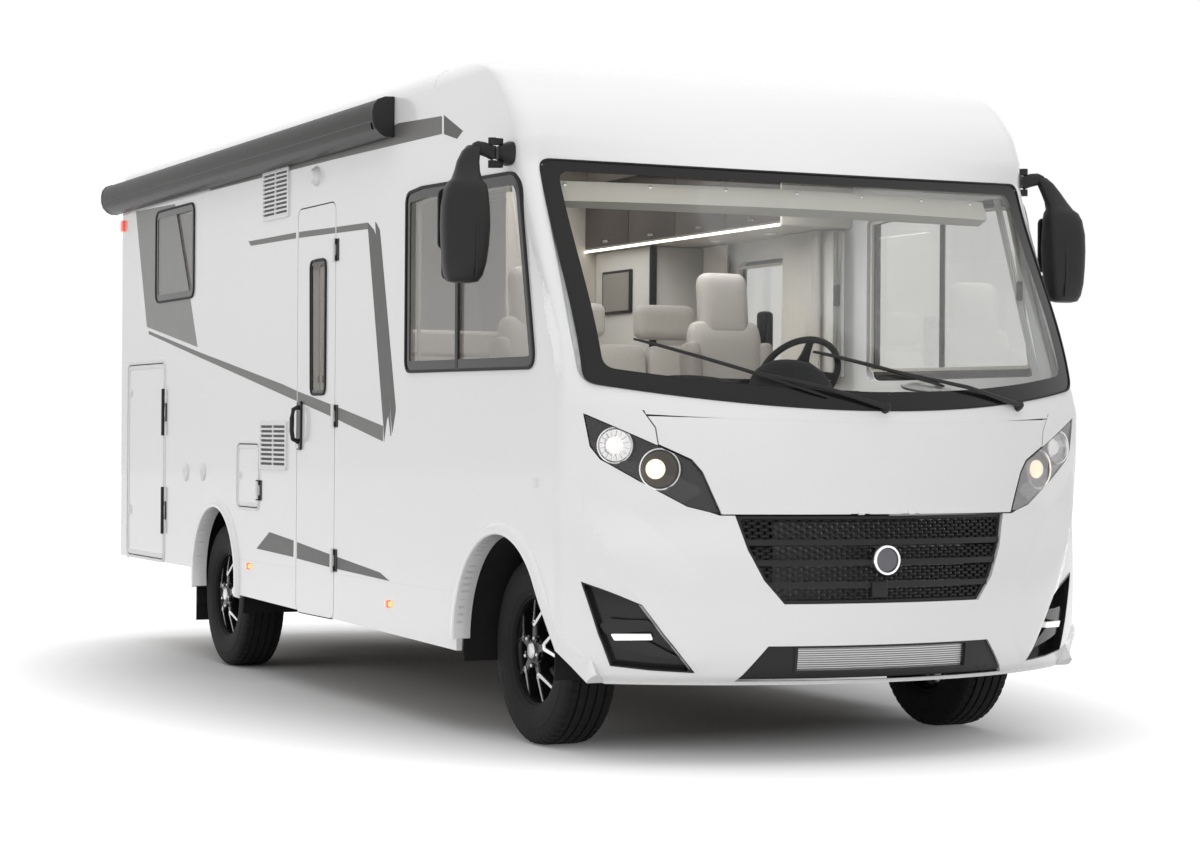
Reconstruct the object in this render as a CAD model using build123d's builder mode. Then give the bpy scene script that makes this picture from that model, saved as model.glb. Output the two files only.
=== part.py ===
from build123d import *
from math import atan2, cos, hypot, pi, radians, sin, sqrt
import os

os.makedirs("parts", exist_ok=True)

# Integrated motorhome on a low-frame front-wheel-drive chassis.
# Origin on the ground at the middle of the vehicle's length and width.
# -Y is forwards, +X is the driver's (left) side, +Z is up. Millimetres.

# ---------------------------------------------------------------- driving sizes
overall_length = 6840
front_overhang = 1040
wheelbase = 3800
front_track = 1810
rear_track = 1970
body_half_width = 1160
roof_height = 2740
roof_edge_radius = 80
side_wall = 34
nose_wall = 30
rear_bumper_depth = 70
mirror_reach = 1473

tyre_radius = 372
tyre_width = 225
rim_radius = 221
rim_width = 178
seat_gap = 0.3
moving_gap = 5

front_axle_y = front_overhang - overall_length / 2
rear_axle_y = front_axle_y + wheelbase
rear_face_y = overall_length / 2 - rear_bumper_depth
axle_height = tyre_radius
body_inside = body_half_width - side_wall

def aft(distance):
    """Y of a place that lies this far behind the front axle."""
    return front_axle_y + distance

# ------------------------------------------------------------------ nose shape
nose_corner_radius = 100
nose_back = aft(1200)
roof_joint_y = aft(700)

# height, centre line behind the front axle, radius of the front in plan
nose_levels = [
    (300, -985, 1700),
    (340, -1020, 1700),
    (450, -1035, 1700),
    (610, -1040, 1700),
    (770, -1030, 1720),
    (930, -1005, 1780),
    (1100, -990, 1920),
    (1320, -965, 2060),
    (2262, -410, 3570),
    (2380, -330, 6200),
    (2490, -240, 10200),
    (2590, -130, 13000),
    (2660, -10, 25000),
    (2700, 120, 30000),
    (2725, 280, 30000),
    (roof_height, 500, 30000),
]

def half_width_at(height):
    """Half width of the body at a height, drawn in along the roof's edge."""
    rise = height - (roof_height - roof_edge_radius)
    if rise <= 0:
        return body_half_width
    run = sqrt(max(roof_edge_radius**2 - rise**2, 0))
    return body_half_width - roof_edge_radius + run

def inset_level(index, inset):
    """Height, centre and radius of one level of the nose, moved inwards."""
    height, centre, radius = nose_levels[index]
    low = nose_levels[max(index - 1, 0)]
    high = nose_levels[min(index + 1, len(nose_levels) - 1)]
    rise = high[0] - low[0]
    run = high[1] - low[1]
    slope = hypot(rise, run)
    inner_height = height - inset * run / slope
    if index == 0:
        inner_height = height - inset
    if index == len(nose_levels) - 1:
        inner_height = height - inset
    return inner_height, centre + inset * rise / slope, radius - inset

def nose_section(height, centre, radius, half_width, corner):
    """Plan outline of the nose: front arc, two corner arcs, straight sides."""
    middle_y = aft(centre) + radius
    corner_x = half_width - corner
    corner_y = middle_y - sqrt((radius - corner) ** 2 - corner_x**2)
    angle = atan2(corner_x, middle_y - corner_y)
    touch_x = radius * sin(angle)
    touch_y = middle_y - radius * cos(angle)
    half_angle = (pi / 2 + angle) / 2
    bulge_x = corner_x + corner * sin(half_angle)
    bulge_y = corner_y - corner * cos(half_angle)
    with BuildSketch(Plane.XY.offset(height)) as section:
        with BuildLine():
            Line((-half_width, nose_back), (-half_width, corner_y))
            ThreePointArc((-half_width, corner_y), (-bulge_x, bulge_y), (-touch_x, touch_y))
            ThreePointArc((-touch_x, touch_y), (0, aft(centre)), (touch_x, touch_y))
            ThreePointArc((touch_x, touch_y), (bulge_x, bulge_y), (half_width, corner_y))
            Line((half_width, corner_y), (half_width, nose_back))
            Line((half_width, nose_back), (-half_width, nose_back))
        make_face()
    return section.sketch

def nose_solid(inset, mode=Mode.ADD):
    """Solid bounded by the nose's outer skin moved inwards by an inset."""
    sections = []
    for index in range(len(nose_levels)):
        height, centre, radius = inset_level(index, inset)
        half_width = half_width_at(nose_levels[index][0]) - inset
        corner = nose_corner_radius - inset
        sections.append(nose_section(height, centre, radius, half_width, corner))
    loft(sections, ruled=True, mode=mode)

def nose_skin(outer, inner):
    """Layer of the nose between two insets."""
    nose_solid(outer)
    nose_solid(inner, mode=Mode.SUBTRACT)

def finish(piece, name):
    """Name a finished piece and write it."""
    piece.part.label = name
    export_step(piece.part, f"parts/{name}.step")

def polygon(points, corner=0, shrink=0):
    """Sketch of a closed outline with rounded corners, drawn in by a margin."""
    with BuildSketch() as outline:
        with BuildLine():
            Polyline(*points, close=True)
        make_face()
        if corner:
            fillet(outline.vertices(), corner)
        if shrink:
            offset(amount=-shrink, mode=Mode.REPLACE)
    return outline.sketch

def both_halves(points):
    """Outline across the middle from its corners on the +X side, top first."""
    return points + [(-across, height) for across, height in reversed(points)]

def other_side(points):
    return [(-across, height) for across, height in points]

front_view = Plane.XZ.offset(-nose_back)
nose_reach = nose_back - aft(-2 * front_overhang)

# outline corners below are (distance from the centre line, height)
windscreen_top_corner = (1095, 2285)
windscreen_top_middle = 2262
windscreen_foot_corner = (1089, 1419)
windscreen_foot_middle = 1321
windscreen_corner_radius = 55
windscreen_flange = 24
glass_thickness = 6
glass_edge_gap = 2

bonnet_wall = 8
bonnet_cowl = 30
bonnet_top_gap = 4
bonnet_half_outline = [
    (903, 1316),
    (861, 1250),
    (852, 1185),
    (740, 962),
    (644, 928),
]
bonnet_hinge_x = 110
bonnet_hinge_z = 936
bonnet_lug = 10
bonnet_knuckle = 24
bonnet_notch = 78
bonnet_pin = 3
bonnet_web = 5
bonnet_top_middle = windscreen_foot_middle - bonnet_cowl

lamp_outline = [
    (1094, 1304),
    (862, 1191),
    (820, 1171),
    (740, 1131),
    (704, 1085),
    (640, 930),
    (755, 960),
    (911, 1051),
    (1039, 1132),
    (1072, 1180),
]
lamp_centres = [(993, 1184, 62), (840, 1100, 70)]
lamp_depth = 26
lamp_bowl_depth = 60
lens_depth = 8

fog_outline = [
    (1094, 680),
    (1007, 644),
    (905, 598),
    (833, 488),
    (728, 348),
    (875, 356),
    (1000, 370),
    (1040, 484),
]
fog_depth = 55

grille_top = 928
grille_foot = 602
grille_outline = [
    (590, grille_top),
    (552, 800),
    (498, 690),
    (425, grille_foot),
]
grille_depth = 16
grille_thickness = 20
grille_bar_heights = [832, 757, 673]
grille_bar = 26
grille_frame = 14
grille_pitch = 40
grille_slats = 27
grille_slat = 5
badge_height = 762
badge_radius = 58

intake_outline = [
    (585, 316),
    (480, 447),
]
intake_thickness = 16
core_half_width = 372
core_foot = 346
core_top = 440
core_depth = 60

# ------------------------------------------------------------- body side sizes
seam_y = aft(-528)
seam_foot = 800
# seam between the front cap and the side walls, from its foot upwards
seam_line = [
    (seam_y, seam_foot),
    (seam_y, 1330),
    (aft(-135), 2262),
    (aft(-125), 2380),
    (aft(-75), 2490),
    (aft(25), 2590),
    (aft(125), roof_height - roof_edge_radius),
]
arch_toe = [
    (aft(-360), 680),
    (aft(-570), 420),
    (aft(-680), 270),
    (aft(-30), 270),
    (aft(-30), 680),
]
wall_top = roof_height - roof_edge_radius
skirt_top = 580
skirt_foot = 336
skirt_foot_rear = 405
skirt_wall = 24
rear_corner_radius = 80
rear_wall_front = rear_face_y - rear_corner_radius
body_foot_rear = 495

front_arch_radius = 445
front_arch_y = front_axle_y - 30
front_arch_height = 385
rear_arch_radius = 365
rear_arch_y = rear_axle_y - 45
rear_arch_height = 465
flare_width = 52
flare_proud = 15
flare_foot = 400

cab_window = (aft(-392), aft(-110), aft(1030), 1465, 2255)
rear_window = (aft(4170), aft(4930), 1940, 2458)
kitchen_window = (aft(2900), aft(3560), 1560, 2110)
dinette_window = (aft(1500), aft(2300), 1480, 2110)
window_corner = 70
window_frame = 42
window_proud = 8
pane_thickness = 5
pane_inset = 4
window_lap = 12

door_front = aft(1913)
door_rear = aft(2445)
door_foot = 372
door_top = 2280
door_gap = 6
door_corner = 45
door_pane = (aft(2030), aft(2250), 1395, 2035)
pane_corner = 60
door_hinge_heights = [640, 1300, 2060]

garage_front = aft(4740)
garage_rear = aft(5500)
garage_foot = 515
garage_top = 1600
flap_corner = 40
garage_hinge_heights = [785, 1330]

hatch_front = aft(3030)
hatch_rear = aft(3380)
hatch_foot = 850
hatch_top = 1160
hatch_hinge_height = 935

knuckle_offset = 10
knuckle_radius = 8
knuckle_length = 50
pin_radius = 4
running_gap = 0.05
leaf_thickness = 3
leaf_width = 32

# y of the middle, side length
roof_hatches = [(aft(1900), 400), (aft(4500), 400)]
hatch_rim = 20
hatch_curb = 25
hatch_hinge_x = 120
lug_width = 15
lid_lap = 20
lid_gap = 5
lid_rise = 30
lid_corner = 40
lid_pivot_height = roof_height + hatch_curb + lid_gap + leaf_width / 4

bumper_half_width = 1100
bumper_foot = 480
bumper_top = 640
lamp_glass_depth = 12
# distance from the centre line, height, radius
tail_lamp_places = [(1010, 900, 55), (1010, 1020, 45), (1050, 2420, 30)]

awning_front = aft(1160)
awning_rear = aft(5780)
awning_foot = 2512
awning_reach = 100
awning_round = 14
# corners of the case's profile: share of the reach, height above the foot
awning_profile = [(0, 143), (0.45, 143), (1, 88), (0.9, 35), (0.35, 0), (0, 0)]

# front, rear, foot, top, number of slots
vent_places = [
    (aft(2580), aft(2980), 2262, 2502, 10),
    (aft(2590), aft(3000), 1040, 1280, 9),
]
vent_proud = 8
vent_corner = 12
cowl_place = (aft(2180), 2420)
cowl_radius = 45
cowl_depth = 30
cap_places = [(aft(4310), 1015), (aft(3980), 1005)]
cap_radius = 55
cap_depth = 12
marker_places = [(aft(1190), 485), (aft(3180), 551)]
marker_radius = 16

bracket_reach = 50
bracket_width = 56
bracket_height = 2320
bracket_length = 100
mirror_y = aft(-96)
mirror_pivot_x = 1232
mirror_knuckle = 16
mirror_pin = 6
mirror_head_x = 1377
mirror_head_y = aft(-180)
mirror_head_foot = 1800
mirror_head_top = 2190
mirror_width = 2 * (mirror_reach - mirror_head_x)
mirror_thickness = 64
mirror_round = 24
neck_width = 110
arm_height = 2312
arm_depth = 52
arm_thickness = 34

wiper_rise = 6
wiper_thickness = 14
wiper_width = 16
wiper_boss = 18
# pivot, elbow and tip of each arm: across, height
wiper_lines = [
    ((15, 1330), (-536, 1461), (-905, 1578)),
    ((695, 1345), (46, 1470), (-252, 1538)),
]

# --------------------------------------------------------------- running gear
tread_edge = 96
shoulder_radius = 352
shoulder_drop = 16
bead_width = 92
rim_lip = 12
rim_barrel_radius = 196
rim_face_offset = 62
hub_radius = 62
hub_bore = 22
hub_depth = 46
spoke_pairs = 5
spoke_width = 22
spoke_depth = 26
spoke_spread = 11
kingpin_x = 840
kingpin_radius = 10
upright_width = 50
upright_depth = 60
upright_foot = 270
upright_top = 475
lower_arm = (235, 265)
upper_arm = (480, 505)
arm_length_y = 50
disc_radius = 140
disc_thickness = 22
disc_standoff = 8
disc_flange = 50
caliper = (46, 70, 110)
rear_beam_radius = 45
rear_hub_block = 90
rear_beam_drop = 30
spring_seat = 24
stub_gap = 6

rail_x = 450
rail_width = 60
rail_foot = 390
rail_top = 500
front_rail_x = 400
front_rail_width = 40
front_rail_end = aft(-860)
rail_step = aft(520)
rail_rear = aft(5640)
crossmembers = [aft(-860), aft(480), aft(1500), aft(2600), aft(4600), aft(5610)]
crossmember_width = 60
outriggers = [aft(700), aft(1500), aft(2600), aft(3200)]
outrigger_top = 560
jack_pad = (56, 120, 12)
jack_places = [aft(850), aft(4900)]
tow_bolt_radius = 8.5
tow_bolts = [aft(5100), aft(5300)]

liner_wall = 6
liner_foot = 300
front_liner_radius = 450
front_liner_inner = 560
rear_liner_radius = 415
rear_liner_inner = 800
rear_liner_place = (rear_axle_y - 10, 430)
liner_window = (150, 520)
mudflap_thickness = 8
mudflap_width = 240
mudflap_foot = 210

engine_size = (640, 560, 430)
engine_place = (0, aft(-440), 470)
radiator_size = (840, 40, 400)
radiator_y = aft(-860)

# -------------------------------------------------------------- floor and cab
floor_foot = 560
floor_top = 600
floor_front = aft(-130)
garage_floor_foot = 500
garage_floor_top = 530
floor_margin = 8
wheelbox_front_x = 550
wheelbox_rear_x = 790
wheelbox_reach = 462
rear_box_reach = 430
step_depth = 270
step_top = 420
step_wall = 20
firewall_top = 1048
dash_foot = 1048
dash_top = 1312
dash_inset = 72
dash_rear = aft(170)
hood_size = (420, 180, 90)
steering_x = 480
steering_tilt = 35
steering_y = aft(515)
steering_z = 1486
steering_ring = 188
steering_grip = 13
column_radius = 32
column_gap = 30
column_length = 430
steering_shaft = 12

seat_x = 470
seat_cushion = (aft(700), aft(1210), 900, 1050)
seat_width = 500
seat_base_inset = 60
seat_back_top = 1790
seat_back_thickness = 130
seat_back_width = 420
headrest_size = (280, 90, 190)
bench_x = (90, 1105)
bench_y = (aft(1760), aft(2340))
bench_seat_top = 1060
bench_back_top = 1680
bench_back_thickness = 140
bench_headrests = [(220, 260), (700, 300)]
bench_headrest_top = 1870
bench_cushion = 140
seat_round = 28

locker_x = (750, 1110)
locker_y = (aft(1170), aft(3320))
locker_z = (2200, 2640)
right_locker_x = (-1110, -760)
right_locker_y = (aft(2560), aft(3320))
kitchen_x = (-1110, -560)
kitchen_y = (aft(2540), aft(3320))
kitchen_top = 1500
partition_y = (aft(3325), aft(3355))
partition_x = (300, 1118)
bulkhead_y = (aft(4270), aft(4300))
bed_foot = 1625
bed_platform = 30
bed_thickness = 150
bed_rear_gap = 20
blind_middle = 2285
blind_width = 1900
blind_height = 90
blind_depth = 60

def windscreen_sketch(shrink):
    top_x, top_z = windscreen_top_corner
    foot_x, foot_z = windscreen_foot_corner
    with BuildSketch() as outline:
        with BuildLine():
            ThreePointArc((-top_x, top_z), (0, windscreen_top_middle), (top_x, top_z))
            Line((top_x, top_z), (foot_x, foot_z))
            ThreePointArc((foot_x, foot_z), (0, windscreen_foot_middle), (-foot_x, foot_z))
            Line((-foot_x, foot_z), (-top_x, top_z))
        make_face()
        fillet(outline.vertices(), windscreen_corner_radius)
        if shrink:
            offset(amount=-shrink, mode=Mode.REPLACE)
    return outline.sketch

def bonnet_sketch(shrink, drop=0):
    half = bonnet_half_outline
    top_x, top_z = half[0]
    foot_x, foot_z = half[-1]
    with BuildSketch() as outline:
        with BuildLine():
            ThreePointArc((-top_x, top_z), (0, bonnet_top_middle), (top_x, top_z))
            Polyline(*half)
            Line((foot_x, foot_z), (-foot_x, foot_z))
            Polyline(*other_side(half))
        make_face()
        if shrink:
            offset(amount=-shrink, mode=Mode.REPLACE)
        if drop:
            with BuildLine():
                middle_z = bonnet_top_middle - shrink - drop
                end_z = 2 * (top_z - shrink - drop) - middle_z
                reach = 2 * top_x
                ThreePointArc((-reach, end_z), (0, middle_z), (reach, end_z))
                Polyline((reach, end_z), (reach, 0), (-reach, 0), (-reach, end_z))
            make_face(mode=Mode.INTERSECT)
    return outline.sketch

def lamp_sketch(side, shrink):
    points = [(side * across, height) for across, height in lamp_outline]
    return polygon(points, 0, shrink)

def fog_sketch(side, shrink):
    points = [(side * across, height) for across, height in fog_outline]
    return polygon(points, 0, shrink)

def grille_sketch(shrink):
    return polygon(both_halves(grille_outline), 0, shrink)

def intake_sketch(shrink):
    points = [intake_outline[1], intake_outline[0]]
    return polygon(both_halves(points), 0, shrink)

def ground_block(height):
    """Everything below a height in a side view."""
    with BuildSketch() as below:
        with Locations((0, height - overall_length)):
            Rectangle(2 * overall_length, 2 * overall_length)
    return below.sketch

def side_rectangle(low_y, high_y, low_z, high_z, corner, shrink=0):
    """Rounded rectangle of a side view, drawn in by a margin."""
    points = [(low_y, low_z), (high_y, low_z), (high_y, high_z), (low_y, high_z)]
    return polygon(points, corner, shrink)

def cab_window_sketch(shrink):
    """Side window of the cab, its front edge raked like the windscreen."""
    foot_front, top_front, back, foot, top = cab_window
    points = [(foot_front, foot), (back, foot), (back, top), (top_front, top)]
    return polygon(points, window_corner, shrink)

def side_windows(side, shrink):
    """Outlines of the windows on one side."""
    outlines = [cab_window_sketch(shrink)]
    outlines.append(side_rectangle(*rear_window, window_corner, shrink))
    if side > 0:
        outlines.append(side_rectangle(*kitchen_window, window_corner, shrink))
        outlines.append(side_rectangle(*dinette_window, window_corner, shrink))
    return outlines

def side_openings(side, grow):
    """Outlines of the doors and flaps on one side, grown by a margin."""
    garage = (garage_front, garage_rear, garage_foot, garage_top)
    outlines = [side_rectangle(*garage, flap_corner, -grow)]
    if side < 0:
        door = (door_front, door_rear, door_foot, door_top)
        hatch = (hatch_front, hatch_rear, hatch_foot, hatch_top)
        outlines.append(side_rectangle(*door, door_corner, -grow))
        outlines.append(side_rectangle(*hatch, flap_corner, -grow))
    return outlines

def side_plane(side, outer, thickness):
    """Side-view plane whose sketch, extruded by a thickness, ends at a face."""
    if side > 0:
        return Plane.YZ.offset(outer - thickness)
    return Plane.YZ.offset(-outer)

def hinge_x(side):
    return side * (body_half_width + knuckle_offset)

def wall_leaf(side, y, z):
    """Fixed half of a hinge: leaf, two knuckles and the pin through them."""
    end_length = knuckle_length / 2
    for end in (-1, 1):
        middle = z + end * (knuckle_length / 2 + seat_gap + end_length / 2)
        with Locations((hinge_x(side), y, middle)):
            Cylinder(knuckle_radius, end_length)
        with Locations((side * (body_half_width + knuckle_radius / 2), y - knuckle_radius, middle)):
            Box(knuckle_radius, 2 * knuckle_radius, end_length)
    with Locations((hinge_x(side), y, z)):
        Cylinder(pin_radius, 2 * knuckle_length)
    leaf_x = side * (body_half_width + leaf_thickness / 2)
    with Locations((leaf_x, y - 2 * knuckle_radius - leaf_width / 2 + leaf_thickness, z)):
        Box(leaf_thickness, leaf_width, 2 * knuckle_length + 2 * seat_gap)

def door_leaf(side, y, z):
    """Moving half of a hinge: leaf and the middle knuckle with its bore."""
    leaf_x = side * (body_half_width + leaf_thickness / 2)
    with Locations((leaf_x, y + leaf_width / 2, z)):
        Box(leaf_thickness, leaf_width, knuckle_length)
    with Locations((side * (body_half_width + knuckle_offset / 2), y + knuckle_radius / 2, z)):
        Box(knuckle_offset, knuckle_radius, knuckle_length)
    with Locations((hinge_x(side), y, z)):
        Cylinder(knuckle_radius, knuckle_length)
        Cylinder(pin_radius + running_gap, knuckle_length, mode=Mode.SUBTRACT)

sides = [(-1, "right"), (1, "left")]

# ------------------------------------------------------------------- front cap
with BuildPart() as windscreen_rebate:
    nose_skin(0, 1 + glass_thickness + seat_gap)
    with BuildSketch(front_view):
        add(windscreen_sketch(0))
    extrude(amount=nose_reach, mode=Mode.INTERSECT)

with BuildPart() as front_cap:
    nose_skin(0, nose_wall)
    with BuildSketch(Plane.YZ.offset(-mirror_reach)):
        with BuildLine():
            Polyline(
                (front_arch_y, 0),
                (front_arch_y, seam_foot),
                *seam_line,
                (roof_joint_y, wall_top),
                (roof_joint_y, 2 * roof_height),
                (nose_back + nose_wall, 2 * roof_height),
                (nose_back + nose_wall, 0),
                close=True,
            )
        make_face()
        with Locations((front_arch_y, front_arch_height)):
            Circle(front_arch_radius)
        with BuildLine():
            Polyline(*arch_toe, close=True)
        make_face()
    extrude(amount=2 * mirror_reach, mode=Mode.SUBTRACT)
    with BuildSketch(front_view):
        add(windscreen_sketch(windscreen_flange))
        add(bonnet_sketch(0))
        add(grille_sketch(0))
        add(intake_sketch(0))
        for side, name in sides:
            add(lamp_sketch(side, 0))
            add(fog_sketch(side, 0))
    extrude(amount=nose_reach, mode=Mode.SUBTRACT)
    add(windscreen_rebate.part, mode=Mode.SUBTRACT)
finish(front_cap, "front_cap")

with BuildPart() as windscreen:
    nose_skin(1, 1 + glass_thickness)
    with BuildSketch(front_view):
        add(windscreen_sketch(glass_edge_gap))
    extrude(amount=nose_reach, mode=Mode.INTERSECT)
finish(windscreen, "windscreen")

# ---------------------------------------------------------------------- bonnet
bonnet_hinge_y = aft(nose_levels[5][1]) - 1

with BuildPart() as bonnet:
    nose_skin(0, bonnet_wall)
    with BuildSketch(front_view):
        add(bonnet_sketch(moving_gap, bonnet_top_gap))
        for side, name in sides:
            add(lamp_sketch(side, -moving_gap), mode=Mode.SUBTRACT)
            with Locations((side * bonnet_hinge_x, bonnet_hinge_z)):
                Rectangle(bonnet_notch, 2 * (bonnet_wall + moving_gap), mode=Mode.SUBTRACT)
    extrude(amount=nose_reach, mode=Mode.INTERSECT)
    web_height = bonnet_wall + moving_gap + bonnet_web
    for side, name in sides:
        with Locations((side * bonnet_hinge_x, bonnet_hinge_y + bonnet_web, bonnet_hinge_z + web_height / 2)):
            Box(bonnet_knuckle, bonnet_web, web_height)
        with Locations((side * bonnet_hinge_x, bonnet_hinge_y, bonnet_hinge_z)):
            Cylinder(2 * bonnet_pin, bonnet_knuckle, rotation=(0, 90, 0))
            bore = bonnet_pin + running_gap
            Cylinder(bore, bonnet_knuckle, rotation=(0, 90, 0), mode=Mode.SUBTRACT)
finish(bonnet, "bonnet")

# -------------------------------------------------------------- lamps and grilles
with BuildPart() as lamp_bowls:
    nose_skin(lamp_depth, lamp_bowl_depth)
    with BuildSketch(front_view):
        for side, name in sides:
            add(lamp_sketch(side, seat_gap))
            for across, height, radius in lamp_centres:
                with Locations((side * across, height)):
                    Circle(radius + seat_gap, mode=Mode.SUBTRACT)
    extrude(amount=nose_reach, mode=Mode.INTERSECT)

with BuildPart() as front_lamps:
    nose_skin(fog_depth / 2, fog_depth)
    with BuildSketch(front_view):
        for side, name in sides:
            add(fog_sketch(side, seat_gap))
    extrude(amount=nose_reach, mode=Mode.INTERSECT)
    add(lamp_bowls.part)
finish(front_lamps, "front_lamps")

with BuildPart() as headlamp_lenses:
    nose_skin(lens_depth, lamp_bowl_depth)
    with BuildSketch(front_view):
        for side, name in sides:
            for across, height, radius in lamp_centres:
                with Locations((side * across, height)):
                    Circle(radius)
    extrude(amount=nose_reach, mode=Mode.INTERSECT)
finish(headlamp_lenses, "headlamp_lenses")

with BuildPart() as lower_grille:
    nose_skin(grille_depth, grille_depth + intake_thickness)
    with BuildSketch(front_view):
        add(intake_sketch(seat_gap))
        with Locations((0, (core_foot + core_top) / 2)):
            Rectangle(2 * core_half_width, core_top - core_foot, mode=Mode.SUBTRACT)
    extrude(amount=nose_reach, mode=Mode.INTERSECT)

with BuildPart() as front_grilles:
    nose_skin(grille_depth, grille_depth + grille_thickness)
    with BuildSketch(front_view):
        add(grille_sketch(seat_gap))
        add(grille_sketch(grille_frame), mode=Mode.SUBTRACT)
        for height in grille_bar_heights:
            with Locations((0, height)):
                Rectangle(2 * grille_outline[0][0], grille_bar)
        with Locations((0, (grille_top + grille_foot) / 2)):
            with GridLocations(grille_pitch, 1, grille_slats, 1):
                Rectangle(grille_slat, grille_top - grille_foot)
        with Locations((0, badge_height)):
            Circle(badge_radius)
        add(grille_sketch(seat_gap), mode=Mode.INTERSECT)
    extrude(amount=nose_reach, mode=Mode.INTERSECT)
    lug_foot = grille_top - grille_frame / 2
    lug_y = bonnet_hinge_y + grille_depth
    for side, name in sides:
        for lug in (-1, 1):
            lug_x = side * bonnet_hinge_x + lug * ((bonnet_knuckle + bonnet_lug) / 2 + seat_gap)
            with Locations((lug_x, lug_y, (lug_foot + bonnet_hinge_z) / 2)):
                Box(bonnet_lug, 2 * grille_depth, bonnet_hinge_z - lug_foot)
            with Locations((lug_x, bonnet_hinge_y, bonnet_hinge_z)):
                Cylinder(2 * bonnet_pin, bonnet_lug, rotation=(0, 90, 0))
        with Locations((side * bonnet_hinge_x, bonnet_hinge_y, bonnet_hinge_z)):
            Cylinder(bonnet_pin, bonnet_knuckle + 2 * bonnet_lug, rotation=(0, 90, 0))
    add(lower_grille.part)
finish(front_grilles, "front_grilles")

with BuildPart() as charge_cooler:
    nose_skin(grille_depth + intake_thickness / 2, core_depth)
    with BuildSketch(front_view):
        with Locations((0, (core_foot + core_top) / 2)):
            height = core_top - core_foot - 2 * seat_gap
            Rectangle(2 * core_half_width - 2 * seat_gap, height)
    extrude(amount=nose_reach, mode=Mode.INTERSECT)
finish(charge_cooler, "charge_cooler")

# ------------------------------------------------------------------ side walls
with BuildPart() as side_walls:
    for side, name in sides:
        with BuildSketch(side_plane(side, body_half_width, side_wall)):
            with BuildLine():
                Polyline(
                    *seam_line,
                    (rear_wall_front, wall_top),
                    (rear_wall_front, body_foot_rear),
                    (rear_arch_y, body_foot_rear),
                    (rear_arch_y, skirt_top),
                    (front_arch_y, skirt_top),
                    (front_arch_y, seam_foot),
                    close=True,
                )
            make_face()
            with Locations((front_arch_y, front_arch_height)):
                Circle(front_arch_radius, mode=Mode.SUBTRACT)
            with Locations((rear_arch_y, rear_arch_height)):
                Circle(rear_arch_radius, mode=Mode.SUBTRACT)
            for outline in side_windows(side, window_lap):
                add(outline, mode=Mode.SUBTRACT)
            for outline in side_openings(side, door_gap):
                add(outline, mode=Mode.SUBTRACT)
        extrude(amount=side_wall)
finish(side_walls, "side_walls")

with BuildPart() as skirts:
    for side, name in sides:
        with BuildSketch(side_plane(side, body_half_width, skirt_wall)):
            with BuildLine():
                Polyline(
                    (front_arch_y, skirt_foot),
                    (front_arch_y, skirt_top - seat_gap),
                    (rear_arch_y, skirt_top - seat_gap),
                    (rear_arch_y, skirt_foot_rear),
                    close=True,
                )
            make_face()
            with Locations((front_arch_y, front_arch_height)):
                Circle(front_arch_radius, mode=Mode.SUBTRACT)
            with Locations((rear_arch_y, rear_arch_height)):
                Circle(rear_arch_radius, mode=Mode.SUBTRACT)
            for outline in side_openings(side, door_gap):
                add(outline, mode=Mode.SUBTRACT)
        extrude(amount=skirt_wall)
finish(skirts, "skirts")

with BuildPart() as arch_flares:
    for side, name in sides:
        with BuildSketch(side_plane(side, body_half_width + flare_proud, flare_proud)):
            with Locations((front_arch_y, front_arch_height)):
                Circle(front_arch_radius + flare_width)
                Circle(front_arch_radius, mode=Mode.SUBTRACT)
            with Locations((rear_arch_y, rear_arch_height)):
                Circle(rear_arch_radius + flare_width)
                Circle(rear_arch_radius, mode=Mode.SUBTRACT)
            add(ground_block(flare_foot), mode=Mode.SUBTRACT)
        extrude(amount=flare_proud)
finish(arch_flares, "arch_flares")

with BuildPart() as window_frames:
    for side, name in sides:
        with BuildSketch(side_plane(side, body_half_width, side_wall)):
            for outline in side_windows(side, window_lap + seat_gap):
                add(outline)
            for outline in side_windows(side, window_frame):
                add(outline, mode=Mode.SUBTRACT)
        extrude(amount=side_wall)
        with BuildSketch(side_plane(side, body_half_width + window_proud, window_proud)):
            for outline in side_windows(side, 0):
                add(outline)
            for outline in side_windows(side, window_frame):
                add(outline, mode=Mode.SUBTRACT)
        extrude(amount=window_proud)
finish(window_frames, "window_frames")

with BuildPart() as window_panes:
    for side, name in sides:
        with BuildSketch(side_plane(side, body_half_width - pane_inset, pane_thickness)):
            for outline in side_windows(side, window_frame):
                add(outline)
        extrude(amount=pane_thickness)
finish(window_panes, "window_panes")

# ------------------------------------------------------------- doors and flaps
with BuildPart() as entry_door:
    with BuildSketch(side_plane(-1, body_half_width, side_wall)):
        add(side_rectangle(door_front, door_rear, door_foot, door_top, door_corner))
        add(side_rectangle(*door_pane, pane_corner), mode=Mode.SUBTRACT)
    extrude(amount=side_wall)
    for height in door_hinge_heights:
        door_leaf(-1, door_front - door_gap / 2, height)
finish(entry_door, "entry_door")

with BuildPart() as entry_door_window:
    with BuildSketch(side_plane(-1, body_half_width, side_wall)):
        add(side_rectangle(*door_pane, pane_corner, seat_gap))
    extrude(amount=side_wall)
finish(entry_door_window, "entry_door_window")

for side, name in sides:
    with BuildPart() as garage_door:
        with BuildSketch(side_plane(side, body_half_width, side_wall)):
            add(side_rectangle(garage_front, garage_rear, garage_foot, garage_top, flap_corner))
        extrude(amount=side_wall)
        for height in garage_hinge_heights:
            door_leaf(side, garage_front - door_gap / 2, height)
    finish(garage_door, f"garage_door_{name}")

with BuildPart() as service_hatch:
    with BuildSketch(side_plane(-1, body_half_width, side_wall)):
        add(side_rectangle(hatch_front, hatch_rear, hatch_foot, hatch_top, flap_corner))
    extrude(amount=side_wall)
    door_leaf(-1, hatch_front - door_gap / 2, hatch_hinge_height)
finish(service_hatch, "service_hatch")

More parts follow.
